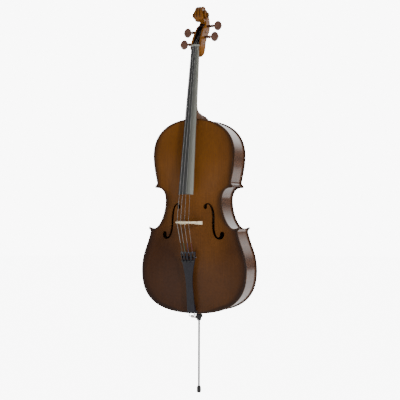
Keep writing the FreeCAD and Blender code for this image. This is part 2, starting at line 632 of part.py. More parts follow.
# ---- bridge, tailpiece and strings --------------------------------------------------
def make_bridge():
    """The bridge, cut from its front view and thinned towards the strings."""
    foot, top, height = BRIDGE_HALF_FEET, BRIDGE_HALF_TOP, BRIDGE_HEIGHT
    shoulder = height - crown_drop(top)
    right = (
        ((0, 0.42), (9, 0.42), (20, 0.35), (23, 0.14)),
        ((23, 0.14), (23.5, 0.105), (22, 0.08), (21, 0.07)),
        ((21, 0.07), (21, -0.07)),
        ((21, -0.07), (foot, -0.07)),
        ((foot, -0.07), (foot, 0.047)),
        ((foot, 0.047), (foot - 1, 0.093), (foot - 9, 0.08), (foot - 10, 0.163)),
        ((foot - 10, 0.163), (foot - 11, 0.28), (foot - 8, 0.442), (foot - 12, 0.488)),
        ((foot - 12, 0.488), (foot - 16, 0.523), (foot - 24, 0.512), (foot - 23, 0.57)),
        ((foot - 23, 0.57), (foot - 22, 0.628), (foot - 8, 0.58), (foot - 9, 0.674)),
        ((foot - 9, 0.674), (foot - 10, 0.767), (top - 1, 0.767), (top, shoulder / height)),
    )
    edges = []
    for side in (1, -1):
        for piece in right[::side]:
            edges.append(curve([Vector(side * x, 0, share * height) for x, share in piece[::side]]))
        if side == 1:
            crown = Part.Arc(Vector(top, 0, shoulder), Vector(0, 0, height),
                             Vector(-top, 0, shoulder))
            edges.append(crown.toShape())
    face = Part.Face(Part.Wire(edges))
    thick = BRIDGE_FOOT_THICKNESS
    plate = face.extrude(Vector(0, thick, 0))
    lean = 5.0
    wedge = polygon_yz(((0, -8), (thick, -8), (thick, 5), (lean + BRIDGE_TOP_THICKNESS + 2.6, height + 1),
                        (lean + 2.6, height + 1), (0, 5)), -60, 60)
    plate = plate.common(wedge)
    heart_z = 0.67 * height
    heart = rod(Vector(0, -1, heart_z), Vector(0, 1, 0), 5.5, thick + 2)
    point = polygon_xz(((-5.2, heart_z - 2), (0, heart_z - 11), (5.2, heart_z - 2)), -1, thick + 1)
    plate = plate.cut(heart).cut(point)
    for side in (-1, 1):
        eye = rod(Vector(side * 21, -1, heart_z + 2), Vector(0, 1, 0), 5.0, thick + 2)
        plate = plate.cut(eye)
    stand = Rotation(Vector(1, 0, 0), 90)
    crest = EDGE_Y + TOP_ARCH
    placed = plate.copy()
    placed.Placement = Placement(Vector(0, -crest, BRIDGE_Z - thick / 2), stand)
    parts["bridge"] = placed.cut(belly_block())


def belly_block():
    """Everything behind the belly's outer face, to fit feet to it."""
    outer = arch_face(-1, EDGE_Y, TOP_ARCH)
    return outer.extrude(Vector(0, 60, 0))


def on_tail(shape):
    """Carries a piece from the tailpiece's frame (lower end, +Z towards the bridge)."""
    placed = shape.copy()
    placed.Placement = Placement(
        Vector(0, TAIL_BOTTOM_Y, TAIL_BOTTOM_Z), Rotation(Vector(1, 0, 0), TAIL_ANGLE)
    ).multiply(placed.Placement)
    return placed


def tail_point(x, y, z):
    turn = Rotation(Vector(1, 0, 0), TAIL_ANGLE)
    return Vector(0, TAIL_BOTTOM_Y, TAIL_BOTTOM_Z) + turn.multVec(Vector(x, y, z))


TUNER_PIVOT_Y = 10.0        # tuner places in the tailpiece's frame, Z down from its top
PIVOT_DOWN = 24.0
SCREW_DOWN = 35.0
BALL_DOWN = 17.0
LEVER_FRONT = 1.0
LEVER_BACK = 8.5
LEVER_THICK = 3.0
LEVER_HALF = 2.7
WINDOW_HALF = 3.3
BALL_RADIUS = 2.5
PIN_RADIUS = 1.5
SCREW_RADIUS = 1.5


def tuner_x(place):
    return place * TUNER_SPREAD


def make_tailpiece():
    length, top, waist, low = TAIL_LENGTH, TAIL_HALF_TOP, TAIL_HALF_WAIST, TAIL_HALF_BOTTOM
    right = (
        ((0, 0), (low - 2, 0)),
        ((low - 2, 0), (low, 4)),
        ((low, 4), (low, 40), (waist, 60), (waist, 0.46 * length)),
        ((waist, 0.46 * length), (waist + 1, 0.7 * length), (top - 4, 0.8 * length),
         (top, length - 6)),
        ((top, length - 6), (top, length - 1.5)),
        ((top, length - 1.5), (top - 1.5, length)),
        ((top - 1.5, length), (0, length)),
    )
    edges = []
    for side in (1, -1):
        for piece in right[::side]:
            edges.append(curve([Vector(side * x, -20, h) for x, h in piece[::side]]))
    blank = Part.Face(Part.Wire(edges)).extrude(Vector(0, 40, 0))
    outer_radius = (top * top + TAIL_CREST * TAIL_CREST) / (2 * TAIL_CREST) - 4
    outer = rod(Vector(0, outer_radius - TAIL_CREST, -5), Vector(0, 0, 1), outer_radius, length + 10)
    inner = rod(Vector(0, outer_radius - TAIL_CREST, 26), Vector(0, 0, 1),
                outer_radius - TAIL_WALL, length)
    behind = box(-60, 60, 5, 60, -10, length + 10)
    shell = blank.common(outer).cut(inner).cut(behind)
    pivot_z, screw_z = length - PIVOT_DOWN, length - SCREW_DOWN
    apart = TUNER_SPREAD / 3.0
    outer_lug = 1.5 * apart + 6.0
    for x in (-outer_lug, -apart, 0.0, apart, outer_lug):
        lug = box(x - 1.5, x + 1.5, -TAIL_CREST, TUNER_PIVOT_Y + 3, pivot_z - 4, pivot_z + 4)
        shell = shell.fuse(lug.common(outer).common(blank))
    for _, place, _, _ in STRINGS:
        x = tuner_x(place)
        shell = shell.cut(box(x - WINDOW_HALF, x + WINDOW_HALF, -20, 14, pivot_z - 6, length - 5))
        shell = shell.cut(rod(Vector(x, -20, screw_z), Vector(0, 1, 0),
                              SCREW_RADIUS + RUN_CLEARANCE, 40))
    pin_half = outer_lug + 1.5
    pin = rod(Vector(-pin_half, TUNER_PIVOT_Y, pivot_z), Vector(1, 0, 0), PIN_RADIUS, 2 * pin_half)
    shell = shell.cut(pin)
    for side in (-1, 1):
        shell = shell.cut(rod(Vector(side * 8.5, -2.5, -5), Vector(0, 0, 1), GUT_DIAMETER / 2, 31.2))
    parts["tuner_pin"] = on_tail(pin)
    parts["tailpiece"] = on_tail(shell.removeSplitter())


def make_tuners():
    length = TAIL_LENGTH
    pivot_z, screw_z, ball_z = length - PIVOT_DOWN, length - SCREW_DOWN, length - BALL_DOWN
    fork_low = ball_z + BALL_RADIUS
    fork_high = fork_low + 3.0
    back = LEVER_BACK + LEVER_THICK
    for name, place, diameter, _ in STRINGS:
        x = tuner_x(place)
        outline = ((LEVER_FRONT, fork_low), (LEVER_FRONT, fork_high), (back, fork_high),
                   (back, screw_z - 2), (LEVER_BACK, screw_z - 2), (LEVER_BACK, fork_low))
        lever = polygon_yz(outline, x - LEVER_HALF, x + LEVER_HALF)
        groove = diameter / 2 + 0.4
        lever = lever.cut(box(x - groove, x + groove, LEVER_FRONT - 1, LEVER_BACK - 1, fork_low - 1,
                              fork_high + 1))
        boss = rod(Vector(x - LEVER_HALF, TUNER_PIVOT_Y, pivot_z), Vector(1, 0, 0), 3.4, 2 * LEVER_HALF)
        bore = rod(Vector(x - 5, TUNER_PIVOT_Y, pivot_z), Vector(1, 0, 0), PIN_RADIUS + RUN_CLEARANCE, 10)
        parts["tuner_lever_%s" % name] = on_tail(lever.fuse(boss).cut(bore))
        ball = Part.makeSphere(BALL_RADIUS, Vector(x, LEVER_BACK - BALL_RADIUS - 1.5, ball_z))
        parts["string_ball_%s" % name] = on_tail(ball)
        crown = TAIL_CREST - tail_drop(x)
        knob = ((0, 0), (0, 2.6), (0.8, 4.0), (6.2, 4.0), (7, 3.2), (7, 0))
        neck = ((7, 0), (7, SCREW_RADIUS), (9 + crown + LEVER_BACK - FREE_GAP, SCREW_RADIUS),
                (9 + crown + LEVER_BACK - FREE_GAP, 0))
        start = Vector(x, -crown - 9, screw_z)
        screw = turned(knob, start, Vector(0, 1, 0)).fuse(turned(neck, start, Vector(0, 1, 0)))
        parts["tuner_screw_%s" % name] = on_tail(screw)


def tail_drop(x):
    top = TAIL_HALF_TOP
    radius = (top * top + TAIL_CREST * TAIL_CREST) / (2 * TAIL_CREST) - 4
    return radius - math.sqrt(radius * radius - x * x)


def make_strings():
    length = TAIL_LENGTH
    bridge_mid = BRIDGE_Z + 1.0
    for name, place, diameter, _ in STRINGS:
        radius = diameter / 2.0
        nut_x = place * STRING_SPREAD_NUT
        nut = board_point(nut_x, crown_drop(nut_x) - NUT_RISE, NUT_LENGTH / 2)
        bridge_x = place * STRING_SPREAD_BRIDGE
        crest = EDGE_Y + TOP_ARCH + BRIDGE_HEIGHT - crown_drop(bridge_x)
        bridge = Vector(bridge_x, -crest, bridge_mid)
        x = tuner_x(place)
        ridge = tail_point(x, tail_drop(x) - TAIL_CREST - radius - 0.2, length - 2.0)
        centre = tail_point(x, LEVER_BACK - BALL_RADIUS - 1.5, length - BALL_DOWN)
        ball = centre + (ridge - centre).normalize() * (BALL_RADIUS + FREE_GAP)
        y, z = PEG_AXES[name]
        coil = head_point(y, z, coil_place(name))
        reach = coil_radius(name) + radius + FREE_GAP
        toward = Vector(0, nut.y - coil.y, nut.z - coil.z)
        distance = toward.Length
        swing = math.acos(reach / distance)
        bearing = math.atan2(toward.z, toward.y)
        angle = bearing - swing
        touch = coil + Vector(0, math.cos(angle), math.sin(angle)) * reach
        points = [touch, nut, bridge, ridge, ball]
        way = (nut - touch).normalize()
        parts["string_%s" % name] = cord(rounded(points, STRING_BENDS), touch, way, radius)
    for name, _, _, _ in STRINGS:
        string = parts["string_%s" % name]
        for other in ("nut", "bridge", "tailpiece"):
            parts[other] = parts[other].cut(string)


def make_saddle_and_gut():
    crest = 8.0
    saddle = polygon_yz(((-HALF_RIB, BODY_BOTTOM), (-EDGE_Y - crest + 2, BODY_BOTTOM),
                         (-EDGE_Y - crest, BODY_BOTTOM + 2), (-EDGE_Y - crest, BODY_BOTTOM + 5),
                         (-EDGE_Y - 2, BODY_BOTTOM + 11), (-HALF_RIB, BODY_BOTTOM + 11)), -19, 19)
    parts["saddle"] = saddle
    for name in ("top_plate", "top_purfling"):
        parts[name] = parts[name].cut(saddle)
    radius = GUT_DIAMETER / 2
    hold = tail_point(8.5, -2.5, 26.0)
    exit_point = tail_point(8.5, -2.5, -0.5)
    wrap = COLLAR_RADIUS + radius + 0.1
    low = BODY_BOTTOM - COLLAR_LENGTH + radius + 0.6
    over = Vector(wrap, -EDGE_Y - crest - radius - 0.2, low)
    collar = Vector(wrap, 0, low)
    edges = rounded([hold, exit_point, over, collar], (3.0, 6.0))
    mirrored = [edge.mirror(Vector(0, 0, 0), Vector(1, 0, 0)) for edge in edges]
    loop = Part.Arc(collar, Vector(0, wrap, low), Vector(-wrap, 0, low)).toShape()
    way = (exit_point - hold).normalize()
    parts["tailgut"] = cord(Part.__sortEdges__(edges + [loop] + mirrored), hold, way, radius)


# ---- endpin -------------------------------------------------------------------------
def make_endpin():
    bottom = Vector(0, 0, 0)
    up = Vector(0, 0, 1)
    sleeve = ROD_RADIUS + RUN_CLEARANCE
    flange_low = ENDPIN_OUT + FERRULE_LENGTH
    collar_low = flange_low + FLANGE_THICKNESS
    seat = BODY_BOTTOM + OVERHANG
    plug_profile = ((flange_low, sleeve), (flange_low, FLANGE_RADIUS - 1), (flange_low + 1, FLANGE_RADIUS),
                    (collar_low - 2, FLANGE_RADIUS), (collar_low, FLANGE_RADIUS - 2),
                    (collar_low, COLLAR_RADIUS), (seat, COLLAR_RADIUS), (seat, 12.4),
                    (seat + PLUG_LENGTH, COLLAR_RADIUS - 0.4), (seat + PLUG_LENGTH, sleeve))
    parts["endpin_plug"] = turned(plug_profile, bottom, up)
    hole = turned(((seat - 10, 0), (seat - 10, COLLAR_RADIUS), (seat, COLLAR_RADIUS), (seat, 12.4),
                   (seat + PLUG_LENGTH, COLLAR_RADIUS - 0.4), (seat + PLUG_LENGTH, 0)), bottom, up)
    for name in ("end_block", "lower_left_rib", "lower_right_rib"):
        parts[name] = parts[name].cut(hole)
    ferrule_profile = ((ENDPIN_OUT, sleeve), (ENDPIN_OUT, FERRULE_RADIUS - 1.5),
                       (ENDPIN_OUT + 1.5, FERRULE_RADIUS), (flange_low, FERRULE_RADIUS),
                       (flange_low, sleeve))
    ferrule = turned(ferrule_profile, bottom, up)
    tilt = math.radians(17)
    way = Vector(-math.cos(tilt), 0, math.sin(tilt))
    centre = Vector(0, 0, ENDPIN_OUT + 0.4 * FERRULE_LENGTH)
    shank_radius = 2.5
    tip_gap = (ROD_RADIUS + shank_radius * math.sin(tilt)) / math.cos(tilt) + 0.05
    shank = rod(centre + way * tip_gap, way, shank_radius, 24 - tip_gap)
    ferrule = ferrule.cut(rod(centre, way, shank_radius + RUN_CLEARANCE, 40))
    paddle = turned(((22, 0), (22, 3.2), (25, 4.4), (29, 5.6), (33, 5.6), (36, 4.2), (37, 0)), centre, way)
    slice_box = box(-60, 60, -2.2, 2.2, 0, FAR)
    parts["endpin_thumbscrew"] = shank.fuse(paddle.common(slice_box))
    parts["endpin_ferrule"] = ferrule
    rod_low = TIP_LENGTH - TIP_SOCKET
    rod_profile = ((rod_low, 0), (rod_low + 3, ROD_RADIUS), (rod_low + ROD_LENGTH - 1, ROD_RADIUS),
                   (rod_low + ROD_LENGTH, ROD_RADIUS - 1), (rod_low + ROD_LENGTH, 0))
    parts["endpin_rod"] = turned(rod_profile, bottom, up)
    tip_profile = ((0, 0), (0, TIP_SOLE_RADIUS), (1.2, 6.2), (3.5, 8.0), (7, TIP_RADIUS),
                   (TIP_LENGTH - 8, TIP_RADIUS), (TIP_LENGTH - 3, 7.4), (TIP_LENGTH, 6.0), (TIP_LENGTH, 0))
    socket = turned(((rod_low - 0.3, 0), (rod_low + 3, ROD_RADIUS + RUN_CLEARANCE),
                     (TIP_LENGTH + 1, ROD_RADIUS + RUN_CLEARANCE), (TIP_LENGTH + 1, 0)), bottom, up)
    parts["endpin_tip"] = turned(tip_profile, bottom, up).cut(socket)


# ---- the whole instrument -----------------------------------------------------------
top_hollow, back_hollow = make_body_shell()
make_ribs()
make_blocks()
make_fingerboard()
make_neck()
for hand in (-1, 1):
    parts["top_plate"] = parts["top_plate"].cut(f_hole(hand))
make_inner_wood(top_hollow, back_hollow)
make_pegs()
make_bridge()
make_tailpiece()
make_tuners()
make_strings()
make_saddle_and_gut()
make_endpin()

os.makedirs("parts", exist_ok=True)
for name, shape in sorted(parts.items()):
    shape.exportStep("parts/%s.step" % name)
    print("%-20s valid %s, solids %d, volume %.0f mm3" % (
        name, shape.isValid(), len(shape.Solids), shape.Volume))
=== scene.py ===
import math

import bmesh
import bpy
import numpy as np
from mathutils import Matrix, Vector


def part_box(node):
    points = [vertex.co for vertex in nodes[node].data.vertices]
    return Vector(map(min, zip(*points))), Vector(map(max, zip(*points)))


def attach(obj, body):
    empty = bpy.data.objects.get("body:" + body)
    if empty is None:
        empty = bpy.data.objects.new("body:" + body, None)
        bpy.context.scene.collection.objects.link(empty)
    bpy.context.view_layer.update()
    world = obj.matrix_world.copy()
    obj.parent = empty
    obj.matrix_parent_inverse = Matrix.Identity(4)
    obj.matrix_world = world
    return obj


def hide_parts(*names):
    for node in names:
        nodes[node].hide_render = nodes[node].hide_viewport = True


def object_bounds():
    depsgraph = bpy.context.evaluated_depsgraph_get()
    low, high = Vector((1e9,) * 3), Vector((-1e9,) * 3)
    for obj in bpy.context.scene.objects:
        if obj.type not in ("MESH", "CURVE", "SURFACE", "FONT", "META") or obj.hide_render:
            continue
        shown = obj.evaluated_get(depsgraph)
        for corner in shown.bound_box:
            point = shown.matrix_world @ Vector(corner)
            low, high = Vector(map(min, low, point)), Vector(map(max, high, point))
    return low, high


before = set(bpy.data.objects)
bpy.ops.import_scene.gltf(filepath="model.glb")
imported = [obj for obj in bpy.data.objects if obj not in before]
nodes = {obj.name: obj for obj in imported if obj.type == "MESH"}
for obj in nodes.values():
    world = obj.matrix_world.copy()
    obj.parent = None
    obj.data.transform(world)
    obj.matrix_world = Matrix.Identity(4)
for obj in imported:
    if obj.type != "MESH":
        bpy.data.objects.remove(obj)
cad_low, cad_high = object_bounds()


# ---- where it is seen from ----------------------------------------------------------
# A long lens at half the cello's height, to the right of its front, nearly level, so
# that the right ribs show and the strings stand clear of the fingerboard's edge.
middle = (cad_low + cad_high) / 2
aim = middle + Vector((0.0026, -middle.y, -0.003))
SWING = math.radians(22.01)
RISE = math.radians(-0.56)
ROLL = math.radians(0.15)
DISTANCE = 3.954
towards_camera = Vector((math.sin(SWING) * math.cos(RISE), -math.cos(SWING) * math.cos(RISE),
                         math.sin(RISE)))
lens = bpy.data.cameras.new("camera")
lens.sensor_width = 36.0
lens.lens = 90.45
lens.clip_end = 60.0
camera = bpy.data.objects.new("camera", lens)
camera.location = aim + towards_camera * DISTANCE
camera.rotation_euler = (-towards_camera).to_track_quat("-Z", "Y").to_euler()
camera.rotation_euler.rotate_axis("Z", ROLL)
bpy.context.scene.collection.objects.link(camera)
bpy.context.scene.camera = camera


# ---- the studio ---------------------------------------------------------------------
# A white floor without a visible edge, under a sky that looks plain white but lights
# more from behind and above than from the front. The key lamp is up on the right, a weak
# fill is on the left, and a third stands behind to brighten the edges.
SKY_SEEN = 9.0
SKY_FRONT = 0.045
SKY_LOW_BEHIND = 0.12
SKY_BEHIND = 2.2
SKY_ABOVE = 0.6
FLOOR_GAP = 0.0005


def full_turn(count):
    """Equal steps once round, without the last one, which would repeat the first."""
    return np.linspace(0, 2 * np.pi, count, endpoint=False)


def surface(name, points, around=True, closed_along=False, hollow=None):
    """A mesh on a grid of points: rows run along the piece, columns run around it.

    Each cell of the grid becomes one quad; doubled points at poles are merged and the
    faces are turned outwards. A grid of numbers may be kept as the attribute "hollow"."""
    rows, columns = points.shape[:2]
    row = np.arange(rows if closed_along else rows - 1)[:, None]
    column = np.arange(columns if around else columns - 1)[None, :]
    next_row = (row + 1) % rows
    next_column = (column + 1) % columns
    quads = np.stack([row * columns + column, row * columns + next_column,
                      next_row * columns + next_column, next_row * columns + column], axis=-1)
    mesh = bpy.data.meshes.new(name)
    mesh.from_pydata(points.reshape(-1, 3).tolist(), [], quads.reshape(-1, 4).tolist())
    if hollow is not None:
        kept = mesh.attributes.new("hollow", "FLOAT", "POINT")
        spread = np.broadcast_to(hollow, (rows, columns)).ravel().astype(np.float32)
        kept.data.foreach_set("value", spread)
    body = bmesh.new()
    body.from_mesh(mesh)
    bmesh.ops.remove_doubles(body, verts=body.verts, dist=1e-7)
    bmesh.ops.dissolve_degenerate(body, edges=body.edges, dist=1e-7)
    bmesh.ops.recalc_face_normals(body, faces=body.faces)
    body.to_mesh(mesh)
    body.free()
    mesh.polygons.foreach_set("use_smooth", np.ones(len(mesh.polygons), dtype=bool))
    piece = bpy.data.objects.new(name, mesh)
    bpy.context.scene.collection.objects.link(piece)
    return piece


def add(tree, kind, inputs=None, **settings):
    """One shader node; each named input is a value to set or a socket to link."""
    node = tree.nodes.new(kind)
    for key, value in settings.items():
        setattr(node, key, value)
    for key, value in (inputs or {}).items():
        if isinstance(value, bpy.types.NodeSocket):
            tree.links.new(value, node.inputs[key])
        else:
            node.inputs[key].default_value = value
    return node


def eased(tree, value, low, high, low_value=0.0, high_value=1.0):
    """A smooth step of a socket between two limits."""
    node = add(tree, "ShaderNodeMapRange", {
        "Value": value, "From Min": low, "From Max": high, "To Min": low_value,
        "To Max": high_value}, interpolation_type="SMOOTHSTEP")
    return node.outputs[0]


def empty_material(name):
    """A material with nothing in it but its output node."""
    material = bpy.data.materials.new(name)
    material.use_nodes = True
    material.node_tree.nodes.clear()
    return material, material.node_tree, add(material.node_tree, "ShaderNodeOutputMaterial")


def studio_floor():
    """A disc whose radius grows with one parameter while the other goes round."""
    radius = np.array([0.0, 0.5, 1.5, 4.0, 12.0])[:, None]
    turn = full_turn(64)[None, :]
    level = np.full((radius.size, turn.size), cad_low.z - FLOOR_GAP)
    floor = surface("floor", np.stack([radius * np.cos(turn), radius * np.sin(turn), level], -1))
    material, tree, output = empty_material("white_floor")
    paint = add(tree, "ShaderNodeBsdfDiffuse", {"Color": (0.9, 0.9, 0.9, 1)})
    glow = add(tree, "ShaderNodeEmission", {"Color": (1, 1, 1, 1), "Strength": SKY_SEEN})
    ray = add(tree, "ShaderNodeLightPath")
    share = add(tree, "ShaderNodeMath", {0: ray.outputs["Is Camera Ray"], 1: 0.90, 2: 0.06},
                operation="MULTIPLY_ADD")
    mixed = add(tree, "ShaderNodeMixShader", {0: share.outputs[0], 1: paint.outputs[0],
                                              2: glow.outputs[0]})
    tree.links.new(mixed.outputs[0], output.inputs["Surface"])
    floor.data.materials.append(material)


def lamp(name, place, size, power):
    """A round white lamp, turned towards the middle of the belly."""
    data = bpy.data.lights.new(name, "AREA")
    data.shape = "DISK"
    data.size = size
    data.energy = power
    light = bpy.data.objects.new(name, data)
    light.location = place
    towards = Vector((0, 0, 0.8)) - Vector(place)
    light.rotation_euler = towards.to_track_quat("-Z", "Y").to_euler()
    bpy.context.scene.collection.objects.link(light)


studio_floor()
sky = bpy.data.worlds.new("sky")
bpy.context.scene.world = sky
sky.use_nodes = True
sky.node_tree.nodes.clear()
sky_ray = add(sky.node_tree, "ShaderNodeLightPath")
sky_way = add(sky.node_tree, "ShaderNodeSeparateXYZ", {
    0: add(sky.node_tree, "ShaderNodeTexCoord").outputs["Generated"]})
sky_raised = eased(sky.node_tree, sky_way.outputs["Z"], 0.06, 0.34, SKY_LOW_BEHIND, SKY_BEHIND)
sky_back = eased(sky.node_tree, sky_way.outputs["Y"], 0.05, 0.6, SKY_FRONT, sky_raised)
sky_dome = eased(sky.node_tree, sky_way.outputs["Z"], 0.4, 0.8, sky_back, SKY_ABOVE)
sky_power = add(sky.node_tree, "ShaderNodeMapRange", {
    "Value": sky_ray.outputs["Is Camera Ray"], "To Min": sky_dome, "To Max": SKY_SEEN})
sky_shade = add(sky.node_tree, "ShaderNodeBackground", {
    "Color": (1, 1, 1, 1), "Strength": sky_power.outputs[0]})
sky_output = add(sky.node_tree, "ShaderNodeOutputWorld")
sky.node_tree.links.new(sky_shade.outputs[0], sky_output.inputs["Surface"])
lamp("key", (3.8, -3.5, 2.9), 0.8, 150.0)
lamp("fill", (-3.4, -2.4, 1.2), 1.6, 4.0)
lamp("back", (-2.0, 3.6, 2.2), 1.8, 40.0)


# ---- belly --------------------------------------------------------------------------
# The front plate: two bookmatched halves of spruce, carved to a low arch, with f-holes.
# Its spirit varnish is sprayed amber in the middle and dark brown round the edge. The two
# amber patches set right of the middle are painted light on the lit side.
def node_group(name, inputs, outputs):
    """A shader group; inputs are (name, kind, value), outputs (name, kind)."""
    group = bpy.data.node_groups.new(name, "ShaderNodeTree")
    for label, kind, value in inputs:
        socket = group.interface.new_socket(label, in_out="INPUT", socket_type=kind)
        if value is not None:
            socket.default_value = value
    for label, kind in outputs:
        group.interface.new_socket(label, in_out="OUTPUT", socket_type=kind)
    return group, add(group, "NodeGroupInput"), add(group, "NodeGroupOutput")


def wood_grain_group():
    """Year lines: noise drawn out along Z and sharpened."""
    group, given, result = node_group("wood_grain", [
        ("Place", "NodeSocketVector", None), ("Lines", "NodeSocketFloat", 600.0),
        ("Stretch", "NodeSocketFloat", 0.02)], [("Grain", "NodeSocketFloat")])
    drawn = add(group, "ShaderNodeCombineXYZ", {0: 1.0, 1: 1.0, 2: given.outputs["Stretch"]})
    along = add(group, "ShaderNodeVectorMath", {0: given.outputs["Place"], 1: drawn.outputs[0]},
                operation="MULTIPLY")
    noise = add(group, "ShaderNodeTexNoise", {
        "Vector": along.outputs[0], "Scale": given.outputs["Lines"], "Detail": 3.0,
        "Roughness": 0.6})
    group.links.new(eased(group, noise.outputs["Fac"], 0.3, 0.7), result.inputs["Grain"])
    return group


def varnish_cloud_group():
    """Uneven spraying: one soft noise of four octaves, spread to fill 0 to 1."""
    group, given, result = node_group("varnish_clouds", [
        ("Place", "NodeSocketVector", None), ("Size", "NodeSocketFloat", 14.0)],
        [("Cloud", "NodeSocketFloat")])
    wide = add(group, "ShaderNodeTexNoise", {
        "Vector": given.outputs["Place"], "Scale": given.outputs["Size"], "Detail": 4.0,
        "Roughness": 0.62})
    spread = add(group, "ShaderNodeMapRange", {
        "Value": wide.outputs["Fac"], "From Min": 0.28, "From Max": 0.72})
    group.links.new(spread.outputs[0], result.inputs["Cloud"])
    return group


def maple_flame_group():
    """Curl in maple: bands across the grain, bent by noise and fading in patches."""
    group, given, result = node_group("maple_flame", [
        ("Place", "NodeSocketVector", None), ("Bands", "NodeSocketFloat", 26.0),
        ("Lean", "NodeSocketFloat", 0.25)], [("Flame", "NodeSocketFloat")])
    split = add(group, "ShaderNodeSeparateXYZ", {0: given.outputs["Place"]})
    side = add(group, "ShaderNodeMath", {0: split.outputs["X"]}, operation="ABSOLUTE")
    tilt = add(group, "ShaderNodeMath", {0: side.outputs[0], 1: given.outputs["Lean"],
                                         2: split.outputs["Z"]}, operation="MULTIPLY_ADD")
    bend = add(group, "ShaderNodeTexNoise", {"Vector": given.outputs["Place"], "Scale": 16.0,
                                             "Detail": 2.0})
    shifted = add(group, "ShaderNodeMath", {0: bend.outputs["Fac"], 1: 0.045,
                                            2: tilt.outputs[0]}, operation="MULTIPLY_ADD")
    line = add(group, "ShaderNodeCombineXYZ", {2: shifted.outputs[0]})
    bands = add(group, "ShaderNodeTexNoise", {"Vector": line.outputs[0],
                                              "Scale": given.outputs["Bands"], "Detail": 2.0})
    group.links.new(eased(group, bands.outputs["Fac"], 0.35, 0.65), result.inputs["Flame"])
    return group


def finish_of(name, roughness, **constants):
    """A material with object coordinates and a Principled shader to build on."""
    material, tree, output = empty_material(name)
    shader = add(tree, "ShaderNodeBsdfPrincipled", {"Roughness": roughness, **constants})
    tree.links.new(shader.outputs[0], output.inputs["Surface"])
    place = add(tree, "ShaderNodeTexCoord").outputs["Object"]
    return material, tree, shader, place


def blend_colours(tree, factor, low, high):
    """One colour node: low at factor 0, high at factor 1; either may be a socket."""
    low, high = (value if isinstance(value, bpy.types.NodeSocket) else (*value, 1.0)
                 for value in (low, high))
    node = add(tree, "ShaderNodeMix", {0: factor, 6: low, 7: high}, data_type="RGBA")
    return node.outputs[2]


def calculate(tree, operation, *values):
    """One maths node on sockets or numbers."""
    return add(tree, "ShaderNodeMath", dict(enumerate(values)), operation=operation).outputs[0]


def grouped(tree, group, place, output, **values):
    """Places a shared group with this material's own values and returns one output."""
    node = add(tree, "ShaderNodeGroup")
    node.node_tree = group
    tree.links.new(place, node.inputs["Place"])
    for key, value in values.items():
        node.inputs[key].default_value = value
    return node.outputs[output]


def relief(tree, shader, height, depth, strength=1.0):
    """Feeds a height through one bump node to the shader."""
    bump = add(tree, "ShaderNodeBump", {"Height": height, "Strength": strength, "Distance": depth})
    tree.links.new(bump.outputs[0], shader.inputs["Normal"])


def glow_spot(tree, parts, centre, reach):
    """A soft elliptical patch on the plate: 1 at its centre, 0 beyond its reach (x, z)."""
    squares = []
    for way, middle_there, reach_there in zip("XZ", centre, reach):
        away = calculate(tree, "SUBTRACT", parts.outputs[way], middle_there)
        share = calculate(tree, "ABSOLUTE", calculate(tree, "DIVIDE", away, reach_there))
        squares.append(calculate(tree, "POWER", share, 2.0))
    return eased(tree, calculate(tree, "ADD", *squares), 0.0, 1.0, 1.0, 0.0)


def distance_inside_edge(tree, parts):
    """How far a point lies inside the plate's edge: its half width there less |x|.

    The curve node holds the half width at each share of the height, divided by
    WIDTH_UNIT so that it stays below 1."""
    up = calculate(tree, "SUBTRACT", parts.outputs["Z"], BODY_FOOT)
    share = calculate(tree, "DIVIDE", up, BODY_LENGTH)
    curve = add(tree, "ShaderNodeFloatCurve", {"Value": share})
    points = curve.mapping.curves[0].points
    points[0].location = HALF_WIDTHS[0]
    points[1].location = HALF_WIDTHS[-1]
    for spot in HALF_WIDTHS[1:-1]:
        points.new(*spot)
    curve.mapping.update()
    wide = calculate(tree, "MULTIPLY", curve.outputs[0], WIDTH_UNIT)
    return calculate(tree, "SUBTRACT", wide, calculate(tree, "ABSOLUTE", parts.outputs["X"]))


def crisp_group():
    """Smooth faces, but hard edges where two faces meet at more than an angle."""
    group = bpy.data.node_groups.new("crisp", "GeometryNodeTree")
    group.interface.new_socket("Geometry", in_out="INPUT", socket_type="NodeSocketGeometry")
    group.interface.new_socket("Angle", in_out="INPUT", socket_type="NodeSocketFloat")
    group.interface.new_socket("Geometry", in_out="OUTPUT", socket_type="NodeSocketGeometry")
    given, result = add(group, "NodeGroupInput"), add(group, "NodeGroupOutput")
    joined = add(group, "GeometryNodeMergeByDistance", {
        "Geometry": given.outputs["Geometry"], "Distance": 1e-6})
    fold = add(group, "GeometryNodeInputMeshEdgeAngle")
    hard = add(group, "FunctionNodeCompare", {
        0: fold.outputs["Unsigned Angle"], 1: given.outputs["Angle"]}, operation="GREATER_THAN")
    round_faces = add(group, "GeometryNodeSetShadeSmooth", {"Geometry": joined.outputs[0]},
                      domain="FACE")
    hard_edges = add(group, "GeometryNodeSetShadeSmooth", {
        "Geometry": round_faces.outputs[0], "Selection": hard.outputs[0],
        "Shade Smooth": False}, domain="EDGE")
    group.links.new(hard_edges.outputs[0], result.inputs["Geometry"])
    return group


def dress(material, *names, angle=32.0):
    """Gives carried-over pieces one material and crisp smooth shading."""
    for name in names:
        piece = nodes[name]
        piece.data.materials.clear()
        piece.data.materials.append(material)
        modifier = piece.modifiers.new("crisp", "NODES")
        modifier.node_group = crisp_shading
        modifier["Socket_1"] = math.radians(angle)


